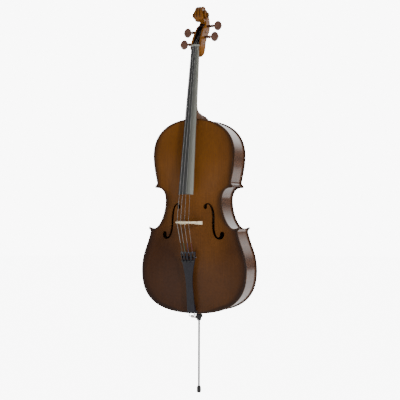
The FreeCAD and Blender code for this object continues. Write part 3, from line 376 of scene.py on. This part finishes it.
belly_low, belly_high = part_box("top_plate")
BODY_FOOT = belly_low.z
BODY_LENGTH = belly_high.z - belly_low.z
WIDTH_UNIT = 0.25
HALF_WIDTHS = ((0.0, 0.0), (0.03, 0.42), (0.1, 0.76), (0.215, 0.874), (0.33, 0.80), (0.43, 0.70),
               (0.455, 0.59), (0.52, 0.485), (0.58, 0.466), (0.625, 0.51), (0.655, 0.625),
               (0.72, 0.65), (0.815, 0.677), (0.9, 0.63), (0.96, 0.46), (1.0, 0.0))
AMBER = (0.175, 0.064, 0.0110)
BROWN = (0.053, 0.0195, 0.0075)
DARK_EDGE = (0.014, 0.0062, 0.0045)
RAW_SPRUCE = (0.42, 0.28, 0.14)
crisp_shading = crisp_group()
grain_group = wood_grain_group()
cloud_group = varnish_cloud_group()
flame_group = maple_flame_group()


def belly_varnish():
    """Amber patches on brown, clouded and grained; the inner face is bare spruce."""
    material, tree, shader, place = finish_of(
        "belly_varnish", 0.36, **{"Specular IOR Level": 0.15})
    parts = add(tree, "ShaderNodeSeparateXYZ", {0: place})
    upper = glow_spot(tree, parts, (-0.025, BODY_FOOT + 0.80 * BODY_LENGTH), (0.26, 0.40))
    # painted light: the middle and lower amber patches sit right of centre, on the lit side
    centre = glow_spot(tree, parts, (0.050, BODY_FOOT + 0.50 * BODY_LENGTH), (0.15, 0.34))
    low = glow_spot(tree, parts, (0.085, BODY_FOOT + 0.20 * BODY_LENGTH), (0.16, 0.24))
    lit = calculate(tree, "MAXIMUM", upper, calculate(tree, "MULTIPLY", centre, 0.62))
    lit = calculate(tree, "MAXIMUM", lit, calculate(tree, "MULTIPLY", low, 0.26))
    cloud = grouped(tree, cloud_group, place, "Cloud", Size=13.0)
    uneven = calculate(tree, "SUBTRACT", cloud, 0.5)
    lit = calculate(tree, "MULTIPLY_ADD", uneven, 0.16, lit)
    colour = blend_colours(tree, lit, BROWN, AMBER)
    grain = grouped(tree, grain_group, place, "Grain", Lines=420.0, Stretch=0.012)
    colour = blend_colours(tree, calculate(tree, "MULTIPLY", grain, 0.22), colour, DARK_EDGE)
    inside = distance_inside_edge(tree, parts)
    rim = eased(tree, inside, 0.0, 0.030, 0.70, 0.0)
    colour = blend_colours(tree, rim, colour, DARK_EDGE)
    normal = add(tree, "ShaderNodeNewGeometry").outputs["Normal"]
    facing = add(tree, "ShaderNodeSeparateXYZ", {0: normal}).outputs["Y"]
    hidden = eased(tree, facing, 0.6, 0.8)
    colour = blend_colours(tree, hidden, colour, RAW_SPRUCE)
    tree.links.new(colour, shader.inputs["Base Color"])
    rough = calculate(tree, "MULTIPLY_ADD", cloud, 0.08, 0.27)
    tree.links.new(rough, shader.inputs["Roughness"])
    relief(tree, shader, grain, 0.00008, 0.35)
    return material


def plate_outline(count):
    """The plate's edge as (x, z): Bezier pieces up the right side, mirrored down the left.

    Their heights are shares of the body's length. Every piece has the weights (1-t)^3,
    3t(1-t)^2, 3t^2(1-t), t^3 on its four points."""
    low, waist, up = 0.2185, 0.1165, 0.1693
    low_tip, up_tip = 0.1885, 0.162
    pieces = (
        ((0, 0), (0.71 * low, 0), (low, 0.073), (low, 0.215)),
        ((low, 0.215), (low, 0.309), (low_tip + 0.0032, 0.347), (low_tip - 0.0073, 0.4166)),
        ((low_tip - 0.0073, 0.4166), (low_tip - 0.0082, 0.4225), (low_tip - 0.0055, 0.4305),
         (low_tip, 0.4338)),
        ((low_tip - 0.0015, 0.4424), (low_tip - 0.0085, 0.437), (low_tip - 0.0155, 0.4344),
         (low_tip - 0.0225, 0.4344)),
        ((low_tip - 0.0225, 0.4344), (low_tip - 0.0445, 0.4344), (waist, 0.5073), (waist, 0.58)),
        ((waist, 0.58), (waist, 0.625), (up_tip - 0.029, 0.6464), (up_tip - 0.012, 0.6464)),
        ((up_tip - 0.012, 0.6464), (up_tip - 0.008, 0.6464), (up_tip - 0.004, 0.6468),
         (up_tip, 0.6483)),
        ((up_tip - 0.001, 0.657), (up_tip - 0.006, 0.6603), (up_tip - 0.0092, 0.6669),
         (up_tip - 0.0082, 0.6738)),
        ((up_tip - 0.0082, 0.6738), (up_tip - 0.0016, 0.7172), (up, 0.761), (up, 0.8155)),
        ((up, 0.8155), (up, 0.9386), (0.567 * up, 1.0), (0, 1.0)),
    )
    t = np.linspace(0, 1, count)[:, None]
    weights = np.hstack([(1 - t) ** 3, 3 * t * (1 - t) ** 2, 3 * t ** 2 * (1 - t), t ** 3])
    runs = []
    for piece, after in zip(pieces, pieces[1:] + (None,)):
        run = weights @ np.array(piece)
        joined = after is not None and piece[-1] == after[0]
        runs.append(run[:-1] if joined else run)
    right = np.vstack(runs)
    right[:, 1] = BODY_FOOT + right[:, 1] * BODY_LENGTH
    left = right[-2:0:-1] * (-1, 1)
    return np.vstack([right, left])


def oblong(turn, power):
    """A rounded oblong: cosine and sine raised to a power, each keeping its sign."""
    across, up = np.cos(turn), np.sin(turn)
    return np.sign(across) * np.abs(across) ** power, np.sign(up) * np.abs(up) ** power


def edge_roll(name, depth, material):
    """The plate's rounded rim: a rounded oblong carried round the outline.

    At each outline point the section is laid out along the outward normal, the mean of
    its two neighbours' normals, and along Y."""
    path = plate_outline(18)
    step = np.roll(path, -1, 0) - path
    step /= np.linalg.norm(step, axis=1)[:, None] + 1e-12
    before = np.roll(step, 1, 0)
    tangent = step + before
    tangent /= np.linalg.norm(tangent, axis=1)[:, None] + 1e-12
    outward = np.stack([tangent[:, 1], -tangent[:, 0]], 1)
    across, up = oblong(full_turn(20), 0.55)
    reach = across * ROLL_REACH - ROLL_INSET
    height = up * ROLL_HEIGHT
    x = path[:, :1] + outward[:, :1] * reach
    z = path[:, 1:] + outward[:, 1:] * reach
    y = np.broadcast_to(depth + height, x.shape)
    roll = surface(name, np.stack([x, y, z], -1), closed_along=True)
    roll.data.materials.append(material)
    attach(roll, "body")


def edge_wood(name, colour, dark):
    """The plates' rims: bare-looking amber wood under thin varnish, darker in patches."""
    material, tree, shader, place = finish_of(name, 0.34)
    cloud = grouped(tree, cloud_group, place, "Cloud", Size=30.0)
    tree.links.new(blend_colours(tree, cloud, dark, colour), shader.inputs["Base Color"])
    return material


dress(belly_varnish(), "top_plate", angle=40.0)
EDGE_HALF = 0.00225
ROLL_REACH = 0.0016
ROLL_INSET = 0.0003
ROLL_HEIGHT = 0.0024
edge_roll("belly_edge", belly_high.y - EDGE_HALF,
          edge_wood("belly_edge_wood", (0.10, 0.040, 0.012), DARK_EDGE))


# ---- purfling -----------------------------------------------------------------------
# A thin black line let into both plates a few millimetres inside the edge, all round.
def black_line():
    material, tree, shader, place = finish_of("purfling_black", 0.45)
    cloud = grouped(tree, cloud_group, place, "Cloud", Size=60.0)
    tree.links.new(blend_colours(tree, cloud, (0.006, 0.0045, 0.004), (0.014, 0.009, 0.007)),
                   shader.inputs["Base Color"])
    return material


dress(black_line(), "top_purfling", "back_purfling")


# ---- back and ribs ------------------------------------------------------------------
# Maple: a jointed two-piece back and six bent ribs, all under glossy dark brown varnish.
# The curl in the wood shows as bands across the grain, leaning down to the centre joint.
def maple_varnish(name, light, dark, bands, lean, joint=False):
    material, tree, shader, place = finish_of(
        name, 0.2, **{"Coat Weight": 0.15, "Coat Roughness": 0.1})
    flame = grouped(tree, flame_group, place, "Flame", Bands=bands, Lean=lean)
    cloud = grouped(tree, cloud_group, place, "Cloud", Size=9.0)
    colour = blend_colours(tree, calculate(tree, "MULTIPLY_ADD", flame, 0.42,
                                           calculate(tree, "MULTIPLY", cloud, 0.58)), dark, light)
    grain = grouped(tree, grain_group, place, "Grain", Lines=500.0, Stretch=0.03)
    colour = blend_colours(tree, calculate(tree, "MULTIPLY", grain, 0.2), colour, dark)
    if joint:
        parts = add(tree, "ShaderNodeSeparateXYZ", {0: place})
        off_centre = calculate(tree, "ABSOLUTE", parts.outputs["X"])
        line = eased(tree, off_centre, 0.0001, 0.0005, 0.8, 0.0)
        colour = blend_colours(tree, line, colour, DARK_EDGE)
        rim = eased(tree, distance_inside_edge(tree, parts), 0.0, 0.05, 0.75, 0.0)
        colour = blend_colours(tree, rim, colour, DARK_EDGE)
    tree.links.new(colour, shader.inputs["Base Color"])
    relief(tree, shader, cloud, 0.0002, 0.15)
    return material


back_finish = maple_varnish("back_varnish", (0.150, 0.056, 0.017), (0.045, 0.018, 0.009),
                            bands=62.0, lean=0.30, joint=True)
rib_finish = maple_varnish("rib_varnish", (0.150, 0.064, 0.030), (0.065, 0.028, 0.015),
                           bands=55.0, lean=0.0)
dress(back_finish, "back_plate", angle=40.0)
dress(rib_finish, "lower_left_rib", "lower_right_rib", "waist_left_rib", "waist_right_rib",
      "upper_left_rib", "upper_right_rib", angle=25.0)
back_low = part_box("back_plate")[0]
edge_roll("back_edge", back_low.y + EDGE_HALF,
          edge_wood("back_edge_wood", (0.055, 0.024, 0.010), DARK_EDGE))


# ---- inside woodwork ----------------------------------------------------------------
# Unvarnished spruce: blocks, linings, the bass bar and the sound post, seen only
# through the f-holes.
def raw_spruce():
    material, tree, shader, place = finish_of("raw_spruce", 0.7)
    grain = grouped(tree, grain_group, place, "Grain", Lines=350.0, Stretch=0.02)
    tree.links.new(blend_colours(tree, grain, RAW_SPRUCE, (0.30, 0.17, 0.075)),
                   shader.inputs["Base Color"])
    relief(tree, shader, grain, 0.0001, 0.4)
    return material


dress(raw_spruce(), "back_linings", "top_linings", "bass_bar", "corner_blocks", "end_block",
      "neck_block", "sound_post")


# ---- neck and head ------------------------------------------------------------------
# Maple, one piece from heel to scroll. The varnish is golden on the head and darker towards
# the heel; the pegbox is black inside, and the scroll's hollows are darkened as painted shade.
def head_varnish():
    material, tree, shader, place = finish_of(
        "head_varnish", 0.26, **{"Specular IOR Level": 0.1})
    parts = add(tree, "ShaderNodeSeparateXYZ", {0: place})
    flame = grouped(tree, flame_group, place, "Flame", Bands=60.0, Lean=0.2)
    cloud = grouped(tree, cloud_group, place, "Cloud", Size=40.0)
    mixed = calculate(tree, "MULTIPLY_ADD", flame, 0.45, calculate(tree, "MULTIPLY", cloud, 0.55))
    colour = blend_colours(tree, mixed, (0.115, 0.038, 0.0065), (0.300, 0.112, 0.015))
    near_body = eased(tree, parts.outputs["Z"], heel_top + 0.02, heel_top + 0.09, 0.85, 0.0)
    colour = blend_colours(tree, near_body, colour, (0.075, 0.032, 0.014))
    # painted shade: the scroll's flutes, shelf corners and eyes are darkened by the kept hollow
    # numbers
    painted_hollow_shade = add(tree, "ShaderNodeAttribute", attribute_name="hollow").outputs["Fac"]
    colour = blend_colours(tree, painted_hollow_shade, colour, (0.030, 0.011, 0.005))
    up = calculate(tree, "SUBTRACT", parts.outputs["Z"], NUT_LINE)
    wall = calculate(tree, "MULTIPLY_ADD", up, -PEGBOX_TAPER, PEGBOX_HALF)
    within = calculate(tree, "LESS_THAN", calculate(tree, "ABSOLUTE", parts.outputs["X"]), wall)
    above = calculate(tree, "GREATER_THAN", parts.outputs["Z"], NUT_LINE - 0.006)
    below = calculate(tree, "LESS_THAN", parts.outputs["Z"], NUT_LINE + PEGBOX_LENGTH)
    normal = add(tree, "ShaderNodeNewGeometry").outputs["True Normal"]
    leaning = add(tree, "ShaderNodeSeparateXYZ", {0: normal}).outputs["Y"]
    forward = calculate(tree, "LESS_THAN", leaning, 0.3)
    inside = calculate(tree, "MULTIPLY", calculate(tree, "MULTIPLY", within, above),
                       calculate(tree, "MULTIPLY", below, forward))
    colour = blend_colours(tree, inside, colour, (0.006, 0.005, 0.006))
    tree.links.new(colour, shader.inputs["Base Color"])
    return material


neck_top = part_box("neck")[1].z
heel_top = belly_high.z
NUT_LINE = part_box("nut")[0].z + 0.001
PEGBOX_LENGTH = 0.1018
PEGBOX_HALF = 0.0143
PEGBOX_TAPER = 0.055
head_finish = head_varnish()
dress(head_finish, "neck", angle=30.0)


# ---- scroll -------------------------------------------------------------------------
# The carved volutes: each side winds out to a round eye while the spiral shrinks, and
# the band round the outside has two hollow flutes with a spine between them.
EYE = Vector((0.0, 0.01012, neck_top - 0.0326))
DRUM_RADIUS = 0.0088
DRUM_FACE = 0.0325
DRUM_BACK = 0.024


def volute(side):
    """Winding angle along, the shelf's section across.

    The outer edge is the spiral r = 33.5 e^(-0.1 (angle - 90 deg)) mm; the height rises
    as 1 - (1 - share)^1.9 and the shelf dips by a half sine before the next wall."""
    angle = np.linspace(0.3 * np.pi, 6.0 * np.pi, 280)[:, None]

    def radius(a):
        return 0.0335 * np.exp(-0.1 * (a - np.pi / 2))

    def height(a):
        share = np.clip((a - 0.3 * np.pi) / (5.7 * np.pi), 0, 1)
        return 0.0125 + 0.020 * (1 - (1 - share) ** 1.9)

    outer, inner = radius(angle) + 0.0006, radius(angle + 2 * np.pi)
    below = np.where(angle < 2.3 * np.pi, 0.008, height(angle - 2 * np.pi) - 0.003)
    across = np.linspace(0, 1, 12)[None, :]
    shelf_r = (outer - 0.0012) + (inner - 0.001 - outer + 0.0012) * across
    shelf_x = height(angle) - 0.0012 * np.sin(np.pi * across) - 0.0004 * across
    wall_r = np.hstack([outer, outer, outer - 0.0003, outer - 0.0008])
    wall_x = np.hstack([below, height(angle) - 0.0012, height(angle) - 0.0004, height(angle)])
    r = np.hstack([wall_r, shelf_r, inner - 0.001])
    x = np.hstack([wall_x, shelf_x, np.full_like(angle, 0.008)])
    points = np.stack([side * x, EYE.y + r * np.cos(angle), EYE.z + r * np.sin(angle)], -1)
    # painted shade: darkest at the foot of each wall and in the shelf's inner corner
    dark = np.concatenate([[0.9, 0.25, 0.0, 0.0], 0.85 * across[0] ** 1.5, [0.9]])
    return surface("volute_right" if side > 0 else "volute_left", points, hollow=dark)


def scroll_eye(side):
    """The button at the volute's centre: a dome of height 1.4 mm on a short drum."""
    t = np.linspace(0, 1, 12)[:, None]
    radius = DRUM_RADIUS * np.cos(t * np.pi / 2)
    out = DRUM_FACE + 0.0014 * np.sin(t * np.pi / 2)
    radius = np.vstack([[[0.0]], [[DRUM_RADIUS]], radius])
    out = np.vstack([[[DRUM_BACK]], [[DRUM_BACK]], out])
    turn = full_turn(40)[None, :]
    points = np.stack([side * out + 0 * turn, EYE.y + radius * np.cos(turn),
                       EYE.z + radius * np.sin(turn)], -1)
    name = "scroll_eye_right" if side > 0 else "scroll_eye_left"
    # painted shade: the whole eye is darkened
    return surface(name, points, hollow=np.array([[0.75]]))


def smooth_through(points, count):
    """A Catmull-Rom curve: each span is the cubic with its neighbours' mean slopes."""
    given = np.array(points, float)
    padded = np.vstack([2 * given[0] - given[1], given, 2 * given[-1] - given[-2]])
    spot = np.linspace(0, len(given) - 1 - 1e-9, count)
    span = spot.astype(int)
    t = (spot - span)[:, None]
    a, b, c, d = (padded[span + shift] for shift in range(4))
    return 0.5 * (2 * b + (c - a) * t + (2 * a - 5 * b + 4 * c - d) * t ** 2
                  + (3 * b - a - 3 * c + d) * t ** 3)


def fluted_band():
    """The band's path runs up the back of the head and over the scroll; across it the
    surface stands 2 mm proud at the edges and the spine and dips by a sine in between."""
    path = smooth_through([(37, -35), (48, -25), (53, -9), (58, 11), (66, 28), (80, 46), (98, 61),
                           (113, 78), (121, 98), (122, 117), (115, 134), (101, 147), (85, 157),
                           (65, 164), (48, 160), (37, 149), (32.5, 134), (36, 119), (45, 110)], 170)
    path = path / 1000.0 + (EYE.y - 0.062, EYE.z - 0.1314)
    step = np.gradient(path, axis=0)
    step /= np.linalg.norm(step, axis=1)[:, None]
    outward = np.stack([step[:, 1], -step[:, 0]], 1)
    level = (path[:, 1] - (EYE.z - 0.1314)) * 1000.0
    half = np.interp(level, (-42, -30, -14, -2, 14, 37, 53, 73, 92, 108, 125, 145, 167),
                     (15.0, 18.0, 20.5, 22.0, 21.5, 20.0, 18.0, 16.7, 15.8, 14.5, 13.0, 11.5, 10.0))
    half = half[:, None] / 1000.0 + 0.0004
    share = np.concatenate([[-1.0], np.linspace(-1, 1, 41), [1.0]])[None, :]
    flute = np.clip((np.abs(share) - 0.07) / 0.81, 0, 1)
    proud = 0.0020 - 0.0018 * np.sin(np.pi * flute)
    proud[:, 0] = -0.003
    proud[:, -1] = -0.003
    fade = np.clip(np.minimum(np.arange(170), 169 - np.arange(170)) / 12.0, 0, 1)[:, None]
    proud = np.where(proud > 0, proud * fade - 0.002 * (1 - fade), proud)
    points = np.stack([half * share, path[:, :1] + outward[:, :1] * proud,
                       path[:, 1:] + outward[:, 1:] * proud], -1)
    # painted shade: darkest down the middle of each flute
    return surface("fluted_band", points, hollow=0.8 * np.sin(np.pi * flute) ** 1.5)


for carving in (volute(1), volute(-1), scroll_eye(1), scroll_eye(-1), fluted_band()):
    carving.data.materials.append(head_finish)
    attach(carving, "body")


# ---- fingerboard, nut and saddle ----------------------------------------------------
# Ebony: nearly black, planed and oiled to a soft grey sheen, with fine lengthwise pores.
# The pale grey on the board's right side and the pale grey nut are painted reflection.
def ebony(name, colour, roughness, painted_sheen_strength=0.0):
    material, tree, shader, place = finish_of(name, roughness, **{"Specular IOR Level": 1.0})
    grain = grouped(tree, grain_group, place, "Grain", Lines=700.0, Stretch=0.02)
    lighter = tuple(channel * 1.9 for channel in colour)
    parts = add(tree, "ShaderNodeSeparateXYZ", {0: place})
    # painted reflection: pale grey laid over the board's right side, where the lamp's sheen falls
    painted_sheen_mask = eased(tree, parts.outputs["X"], -0.004, 0.024)
    mixed = blend_colours(tree, grain, colour, lighter)
    painted_sheen_share = calculate(tree, "MULTIPLY", painted_sheen_mask, painted_sheen_strength)
    with_painted_sheen = blend_colours(tree, painted_sheen_share, mixed, (0.19, 0.195, 0.16))
    tree.links.new(with_painted_sheen, shader.inputs["Base Color"])
    rough = calculate(tree, "MULTIPLY_ADD", grain, 0.12, roughness)
    tree.links.new(rough, shader.inputs["Roughness"])
    relief(tree, shader, grain, 0.00005, 0.3)
    return material


dress(ebony("fingerboard_ebony", (0.020, 0.020, 0.020), 0.44, painted_sheen_strength=1.0), "fingerboard")
# painted reflection: the nut's pale grey stands for the sheen on black ebony
dress(ebony("nut_ebony_painted_sheen", (0.20, 0.205, 0.18), 0.3), "nut")
dress(ebony("saddle_ebony", (0.012, 0.011, 0.011), 0.35), "saddle")


# ---- pegs ---------------------------------------------------------------------------
# Four turned rosewood pegs. Each has a tapered shank, a collar, a thin neck and a
# flat oval head hollowed on both faces for the thumb.
def rosewood():
    material, tree, shader, place = finish_of("rosewood", 0.33, **{"Coat Weight": 0.2})
    grain = grouped(tree, grain_group, place, "Grain", Lines=520.0, Stretch=0.3)
    cloud = grouped(tree, cloud_group, place, "Cloud", Size=70.0)
    streaks = calculate(tree, "MULTIPLY", grain, cloud)
    colour = blend_colours(tree, streaks, (0.170, 0.082, 0.055), (0.050, 0.022, 0.016))
    tree.links.new(colour, shader.inputs["Base Color"])
    relief(tree, shader, grain, 0.00008, 0.3)
    return material


def peg_surface(name, side, axis, thin_end):
    """Along the peg, half height and half thickness follow the turned profile and the
    oval head; around it the section is a superellipse, square-ish only in the head."""
    shank = np.array([
        (thin_end, 0.0), (thin_end, 3.9), (thin_end + 0.8, 4.6), (38.0, 5.5), (38.1, 6.2),
        (38.6, 6.6), (39.6, 6.75), (40.0, 6.3), (40.4, 6.75), (41.5, 6.6), (42.0, 6.1),
        (42.1, 4.3), (44.0, 3.9), (46.0, 4.4)])
    share = np.linspace(0.02, 0.998, 26)
    oval = 19.2 * np.sqrt(np.clip(1 - (2 * share - 1) ** 2, 0, 1)) ** 0.9
    along = np.concatenate([shank[:, 0], 45.5 + 31.0 * share, [76.4, 77.2, 78.4, 78.8]])
    button = [2.6, 2.6, 1.8, 0.0]
    tall = np.concatenate([shank[:, 1], np.maximum(oval, 4.2 * (share < 0.5)), button])
    hollow = 4.6 - 1.5 * np.sin(np.pi * share) ** 0.8
    thick = np.concatenate([shank[:, 1], np.minimum(hollow, np.maximum(oval, 3.0)), button])
    power = np.concatenate([np.ones(len(shank)), 0.80 * np.ones(len(share)), np.ones(4)])
    turn = full_turn(40)[None, :]
    across, up = oblong(turn, power[:, None])
    dy, dz = thick[:, None] * across, tall[:, None] * up
    x = side * along[:, None] + 0 * turn
    return surface(name, np.stack([x * MM, axis.y + dy * MM, axis.z + dz * MM], -1))


MM = 0.001
peg_finish = rosewood()
for string, side, thin_end in (("c", -1, -22.0), ("g", -1, -19.5),
                               ("d", 1, -19.5), ("a", 1, -22.0)):
    coil_low, coil_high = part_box("string_coil_" + string)
    peg = peg_surface("turned_peg_" + string, side, (coil_low + coil_high) / 2, thin_end)
    peg.data.materials.append(peg_finish)
    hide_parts("peg_" + string)
    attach(peg, "peg_" + string)


# ---- strings ------------------------------------------------------------------------
# Steel wound with flat metal ribbon, thick C to thin A. Both ends are wrapped in
# coloured silk, and each string ends in a brass ball in its tuner.
def wound_metal():
    material, tree, shader, place = finish_of("wound_steel", 0.45, Metallic=1.0)
    parts = add(tree, "ShaderNodeSeparateXYZ", {0: place})
    ribbon = calculate(tree, "SINE", calculate(tree, "MULTIPLY", parts.outputs["Z"], 9000.0))
    cloud = grouped(tree, cloud_group, place, "Cloud", Size=120.0)
    tree.links.new(blend_colours(tree, cloud, (0.24, 0.24, 0.24), (0.36, 0.355, 0.34)),
                   shader.inputs["Base Color"])
    relief(tree, shader, ribbon, 0.00001, 0.15)
    return material


def silk(name, colour):
    """Wrapped thread: fine turns round the string shown as a ripple along Z."""
    material, tree, shader, place = finish_of(name, 0.62, **{"Sheen Weight": 0.3})
    parts = add(tree, "ShaderNodeSeparateXYZ", {0: place})
    thread = calculate(tree, "SINE", calculate(tree, "MULTIPLY", parts.outputs["Z"], 12000.0))
    darker = tuple(channel * 0.55 for channel in colour)
    mask = calculate(tree, "MULTIPLY_ADD", thread, 0.5, 0.5)
    tree.links.new(blend_colours(tree, mask, darker, colour), shader.inputs["Base Color"])
    relief(tree, shader, mask, 0.00004, 0.5)
    return material


def wrapping(name, start, end, radius, material, body="body"):
    """A round sleeve along a straight run, its ends drawn in over one millimetre."""
    run = np.array(end) - np.array(start)
    length = np.linalg.norm(run)
    along = run / length
    across = np.cross(along, (0.0, 1.0, 0.0))
    across /= np.linalg.norm(across)
    third = np.cross(along, across)
    place = np.array([0, 0, 0.001, length * 0.5, length - 0.001, length, length])
    thick = np.array([0, 0.8, 1, 1, 1, 0.8, 0]) * radius
    turn = full_turn(16)
    ring = across * np.cos(turn)[:, None] + third * np.sin(turn)[:, None]
    points = np.array(start) + along * place[:, None, None] + ring[None] * thick[:, None, None]
    sleeve = surface(name, points)
    sleeve.data.materials.append(material)
    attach(sleeve, body)


bridge_low, bridge_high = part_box("bridge")
BRIDGE_TOP = (bridge_low.z + bridge_high.z) / 2 + 0.001
CROWN = 0.064
SPREAD_BRIDGE = 0.047
SPREAD_TAIL = 0.042
TAIL_CROWN = 0.0522
TAIL_FOOT = Vector((0.0, -0.076, BODY_FOOT + 0.0085))
TAIL_TURN = Matrix.Rotation(math.radians(9.998), 3, "X")
TAIL_LENGTH = 0.23616


def crown_drop(x, radius):
    """How far a round crown has fallen at x from its middle: r - sqrt(r^2 - x^2)."""
    return radius - math.sqrt(radius * radius - x * x)


def tail_place(x, y, z):
    """Carries a point from the tailpiece's own frame, lower end first, to its place."""
    return TAIL_FOOT + TAIL_TURN @ Vector((x, y, z))


steel = wound_metal()
STRINGS = (("c", -0.5, 0.0018, (0.028, 0.030, 0.014)),
           ("g", -1 / 6, 0.0015, (0.012, 0.090, 0.045)),
           ("d", 1 / 6, 0.00125, (0.030, 0.028, 0.120)),
           ("a", 0.5, 0.0010, (0.150, 0.020, 0.055)))
for string, share, diameter, colour in STRINGS:
    dress(steel, "string_" + string)
    thread = silk("silk_" + string, colour)
    dress(thread, "string_coil_" + string)
    x = SPREAD_BRIDGE * share
    over_bridge = Vector((x, bridge_low.y + crown_drop(x, CROWN), BRIDGE_TOP))
    x = SPREAD_TAIL * share
    ridge = tail_place(x, crown_drop(x, TAIL_CROWN) - 0.009 - diameter / 2 - 0.0002,
                       TAIL_LENGTH - 0.002)
    up = (over_bridge - ridge).normalized()
    wrapping("silk_tail_" + string, ridge + up * 0.003, ridge + up * 0.040,
             diameter / 2 + 0.00025, thread)


def ball_brass():
    material, tree, shader, place = finish_of("ball_brass", 0.3, Metallic=1.0)
    cloud = grouped(tree, cloud_group, place, "Cloud", Size=200.0)
    tree.links.new(blend_colours(tree, cloud, (0.55, 0.40, 0.18), (0.75, 0.60, 0.32)),
                   shader.inputs["Base Color"])
    return material


dress(ball_brass(), "string_ball_c", "string_ball_g", "string_ball_d", "string_ball_a")


# ---- bridge -------------------------------------------------------------------------
# Cut from quartered maple, left unvarnished: pale, with short darker flecks. Two feet
# are fitted to the belly and the top edge is thin and crowned under the strings.
def bridge_maple():
    material, tree, shader, place = finish_of("bridge_maple", 0.5, **{"Subsurface Weight": 0.05})
    stretched = add(tree, "ShaderNodeMapping", {"Vector": place, "Scale": (0.35, 1.0, 1.0)})
    flecks = add(tree, "ShaderNodeTexNoise", {
        "Vector": stretched.outputs[0], "Scale": 700.0, "Detail": 2.0})
    mask = eased(tree, flecks.outputs["Fac"], 0.52, 0.68)
    faint = calculate(tree, "MULTIPLY", mask, 0.4)
    colour = blend_colours(tree, faint, (0.96, 0.83, 0.58), (0.60, 0.40, 0.20))
    tree.links.new(colour, shader.inputs["Base Color"])
    relief(tree, shader, mask, 0.00005, 0.3)
    return material


dress(bridge_maple(), "bridge", angle=30.0)


# ---- tailpiece and its tuners -------------------------------------------------------
# A moulded black composite tailpiece with four windows. In each sits a lever on a steel
# pin, pushed by a knurled screw that is turned from the front.
def black_composite(name, colour, roughness):
    material, tree, shader, place = finish_of(name, roughness, **{"Specular IOR Level": 0.3})
    speck = add(tree, "ShaderNodeTexNoise", {"Vector": place, "Scale": 2600.0, "Detail": 2.0})
    cloud = grouped(tree, cloud_group, place, "Cloud", Size=35.0)
    lighter = tuple(channel * 1.6 for channel in colour)
    tree.links.new(blend_colours(tree, cloud, colour, lighter), shader.inputs["Base Color"])
    relief(tree, shader, speck.outputs["Fac"], 0.00004, 0.35)
    return material


def knurled_screw(name, x):
    """Along the screw the turned profile; around the knob the radius ripples 18 times."""
    start = tail_place(x, crown_drop(x, TAIL_CROWN) - 0.018, TAIL_LENGTH - 0.035)
    way = TAIL_TURN @ Vector((0, 1, 0))
    third = TAIL_TURN @ Vector((0, 0, 1))
    reach = 9.0 + 9.0 - crown_drop(x, TAIL_CROWN) / MM + 8.2
    profile = np.array([
        (0, 0.0), (0, 2.4), (0.3, 3.0), (1.0, 3.8), (1.6, 4.1), (3.5, 4.15), (5.6, 4.1),
        (6.3, 3.8), (6.9, 3.0), (7.0, 1.55), (reach, 1.5), (reach, 0.0)])
    knurl = np.array([0, 0, 0, 0.5, 1, 1, 1, 0.5, 0, 0, 0, 0])[:, None]
    turn = full_turn(6 * KNURLS)[None, :]
    radius = profile[:, 1:] + 0.16 * knurl * np.cos(KNURLS * turn)
    side = np.array((1.0, 0.0, 0.0))
    points = (np.array(start) + np.array(way) * profile[:, :1, None] * MM
              + side * (radius * np.cos(turn))[..., None] * MM
              + np.array(third) * (radius * np.sin(turn))[..., None] * MM)
    return surface(name, points)


KNURLS = 18
dress(black_composite("tail_composite", (0.009, 0.008, 0.012), 0.42), "tailpiece", angle=28.0)
tuner_black = black_composite("tuner_black", (0.012, 0.012, 0.013), 0.3)
dress(black_composite("pin_steel", (0.3, 0.3, 0.31), 0.3), "tuner_pin")
for string, share, *_ in STRINGS:
    dress(tuner_black, "tuner_lever_" + string)
    screw = knurled_screw("knurled_screw_" + string, SPREAD_TAIL * share)
    screw.data.materials.append(tuner_black)
    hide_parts("tuner_screw_" + string)
    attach(screw, "tuner_screw_" + string)
dress(black_composite("tail_cord", (0.010, 0.010, 0.010), 0.55), "tailgut")


# ---- endpin -------------------------------------------------------------------------
# A black plug and ferrule in the end block, a steel rod that slides through them, a
# nickelled thumbscrew that clamps it, and a rubber tip.
def bare_metal(name, dull, bright, roughness, lines):
    material, tree, shader, place = finish_of(name, roughness, Metallic=1.0)
    drawn = grouped(tree, grain_group, place, "Grain", Lines=lines, Stretch=0.02)
    tree.links.new(blend_colours(tree, drawn, dull, bright), shader.inputs["Base Color"])
    rough = calculate(tree, "MULTIPLY_ADD", drawn, 0.1, roughness)
    tree.links.new(rough, shader.inputs["Roughness"])
    return material


def rubber():
    material, tree, shader, place = finish_of("tip_rubber", 0.65)
    dust = grouped(tree, cloud_group, place, "Cloud", Size=160.0)
    tree.links.new(blend_colours(tree, dust, (0.010, 0.010, 0.010), (0.030, 0.029, 0.028)),
                   shader.inputs["Base Color"])
    relief(tree, shader, dust, 0.0001, 0.3)
    return material


dress(black_composite("endpin_black", (0.010, 0.010, 0.011), 0.3), "endpin_plug")
dress(black_composite("ferrule_black", (0.012, 0.012, 0.013), 0.28), "endpin_ferrule")
dress(bare_metal("rod_steel", (0.07, 0.07, 0.073), (0.16, 0.16, 0.165), 0.3, 900.0), "endpin_rod")
dress(bare_metal("nickel", (0.60, 0.55, 0.50), (0.78, 0.74, 0.70), 0.2, 300.0), "endpin_thumbscrew")
dress(rubber(), "endpin_tip")
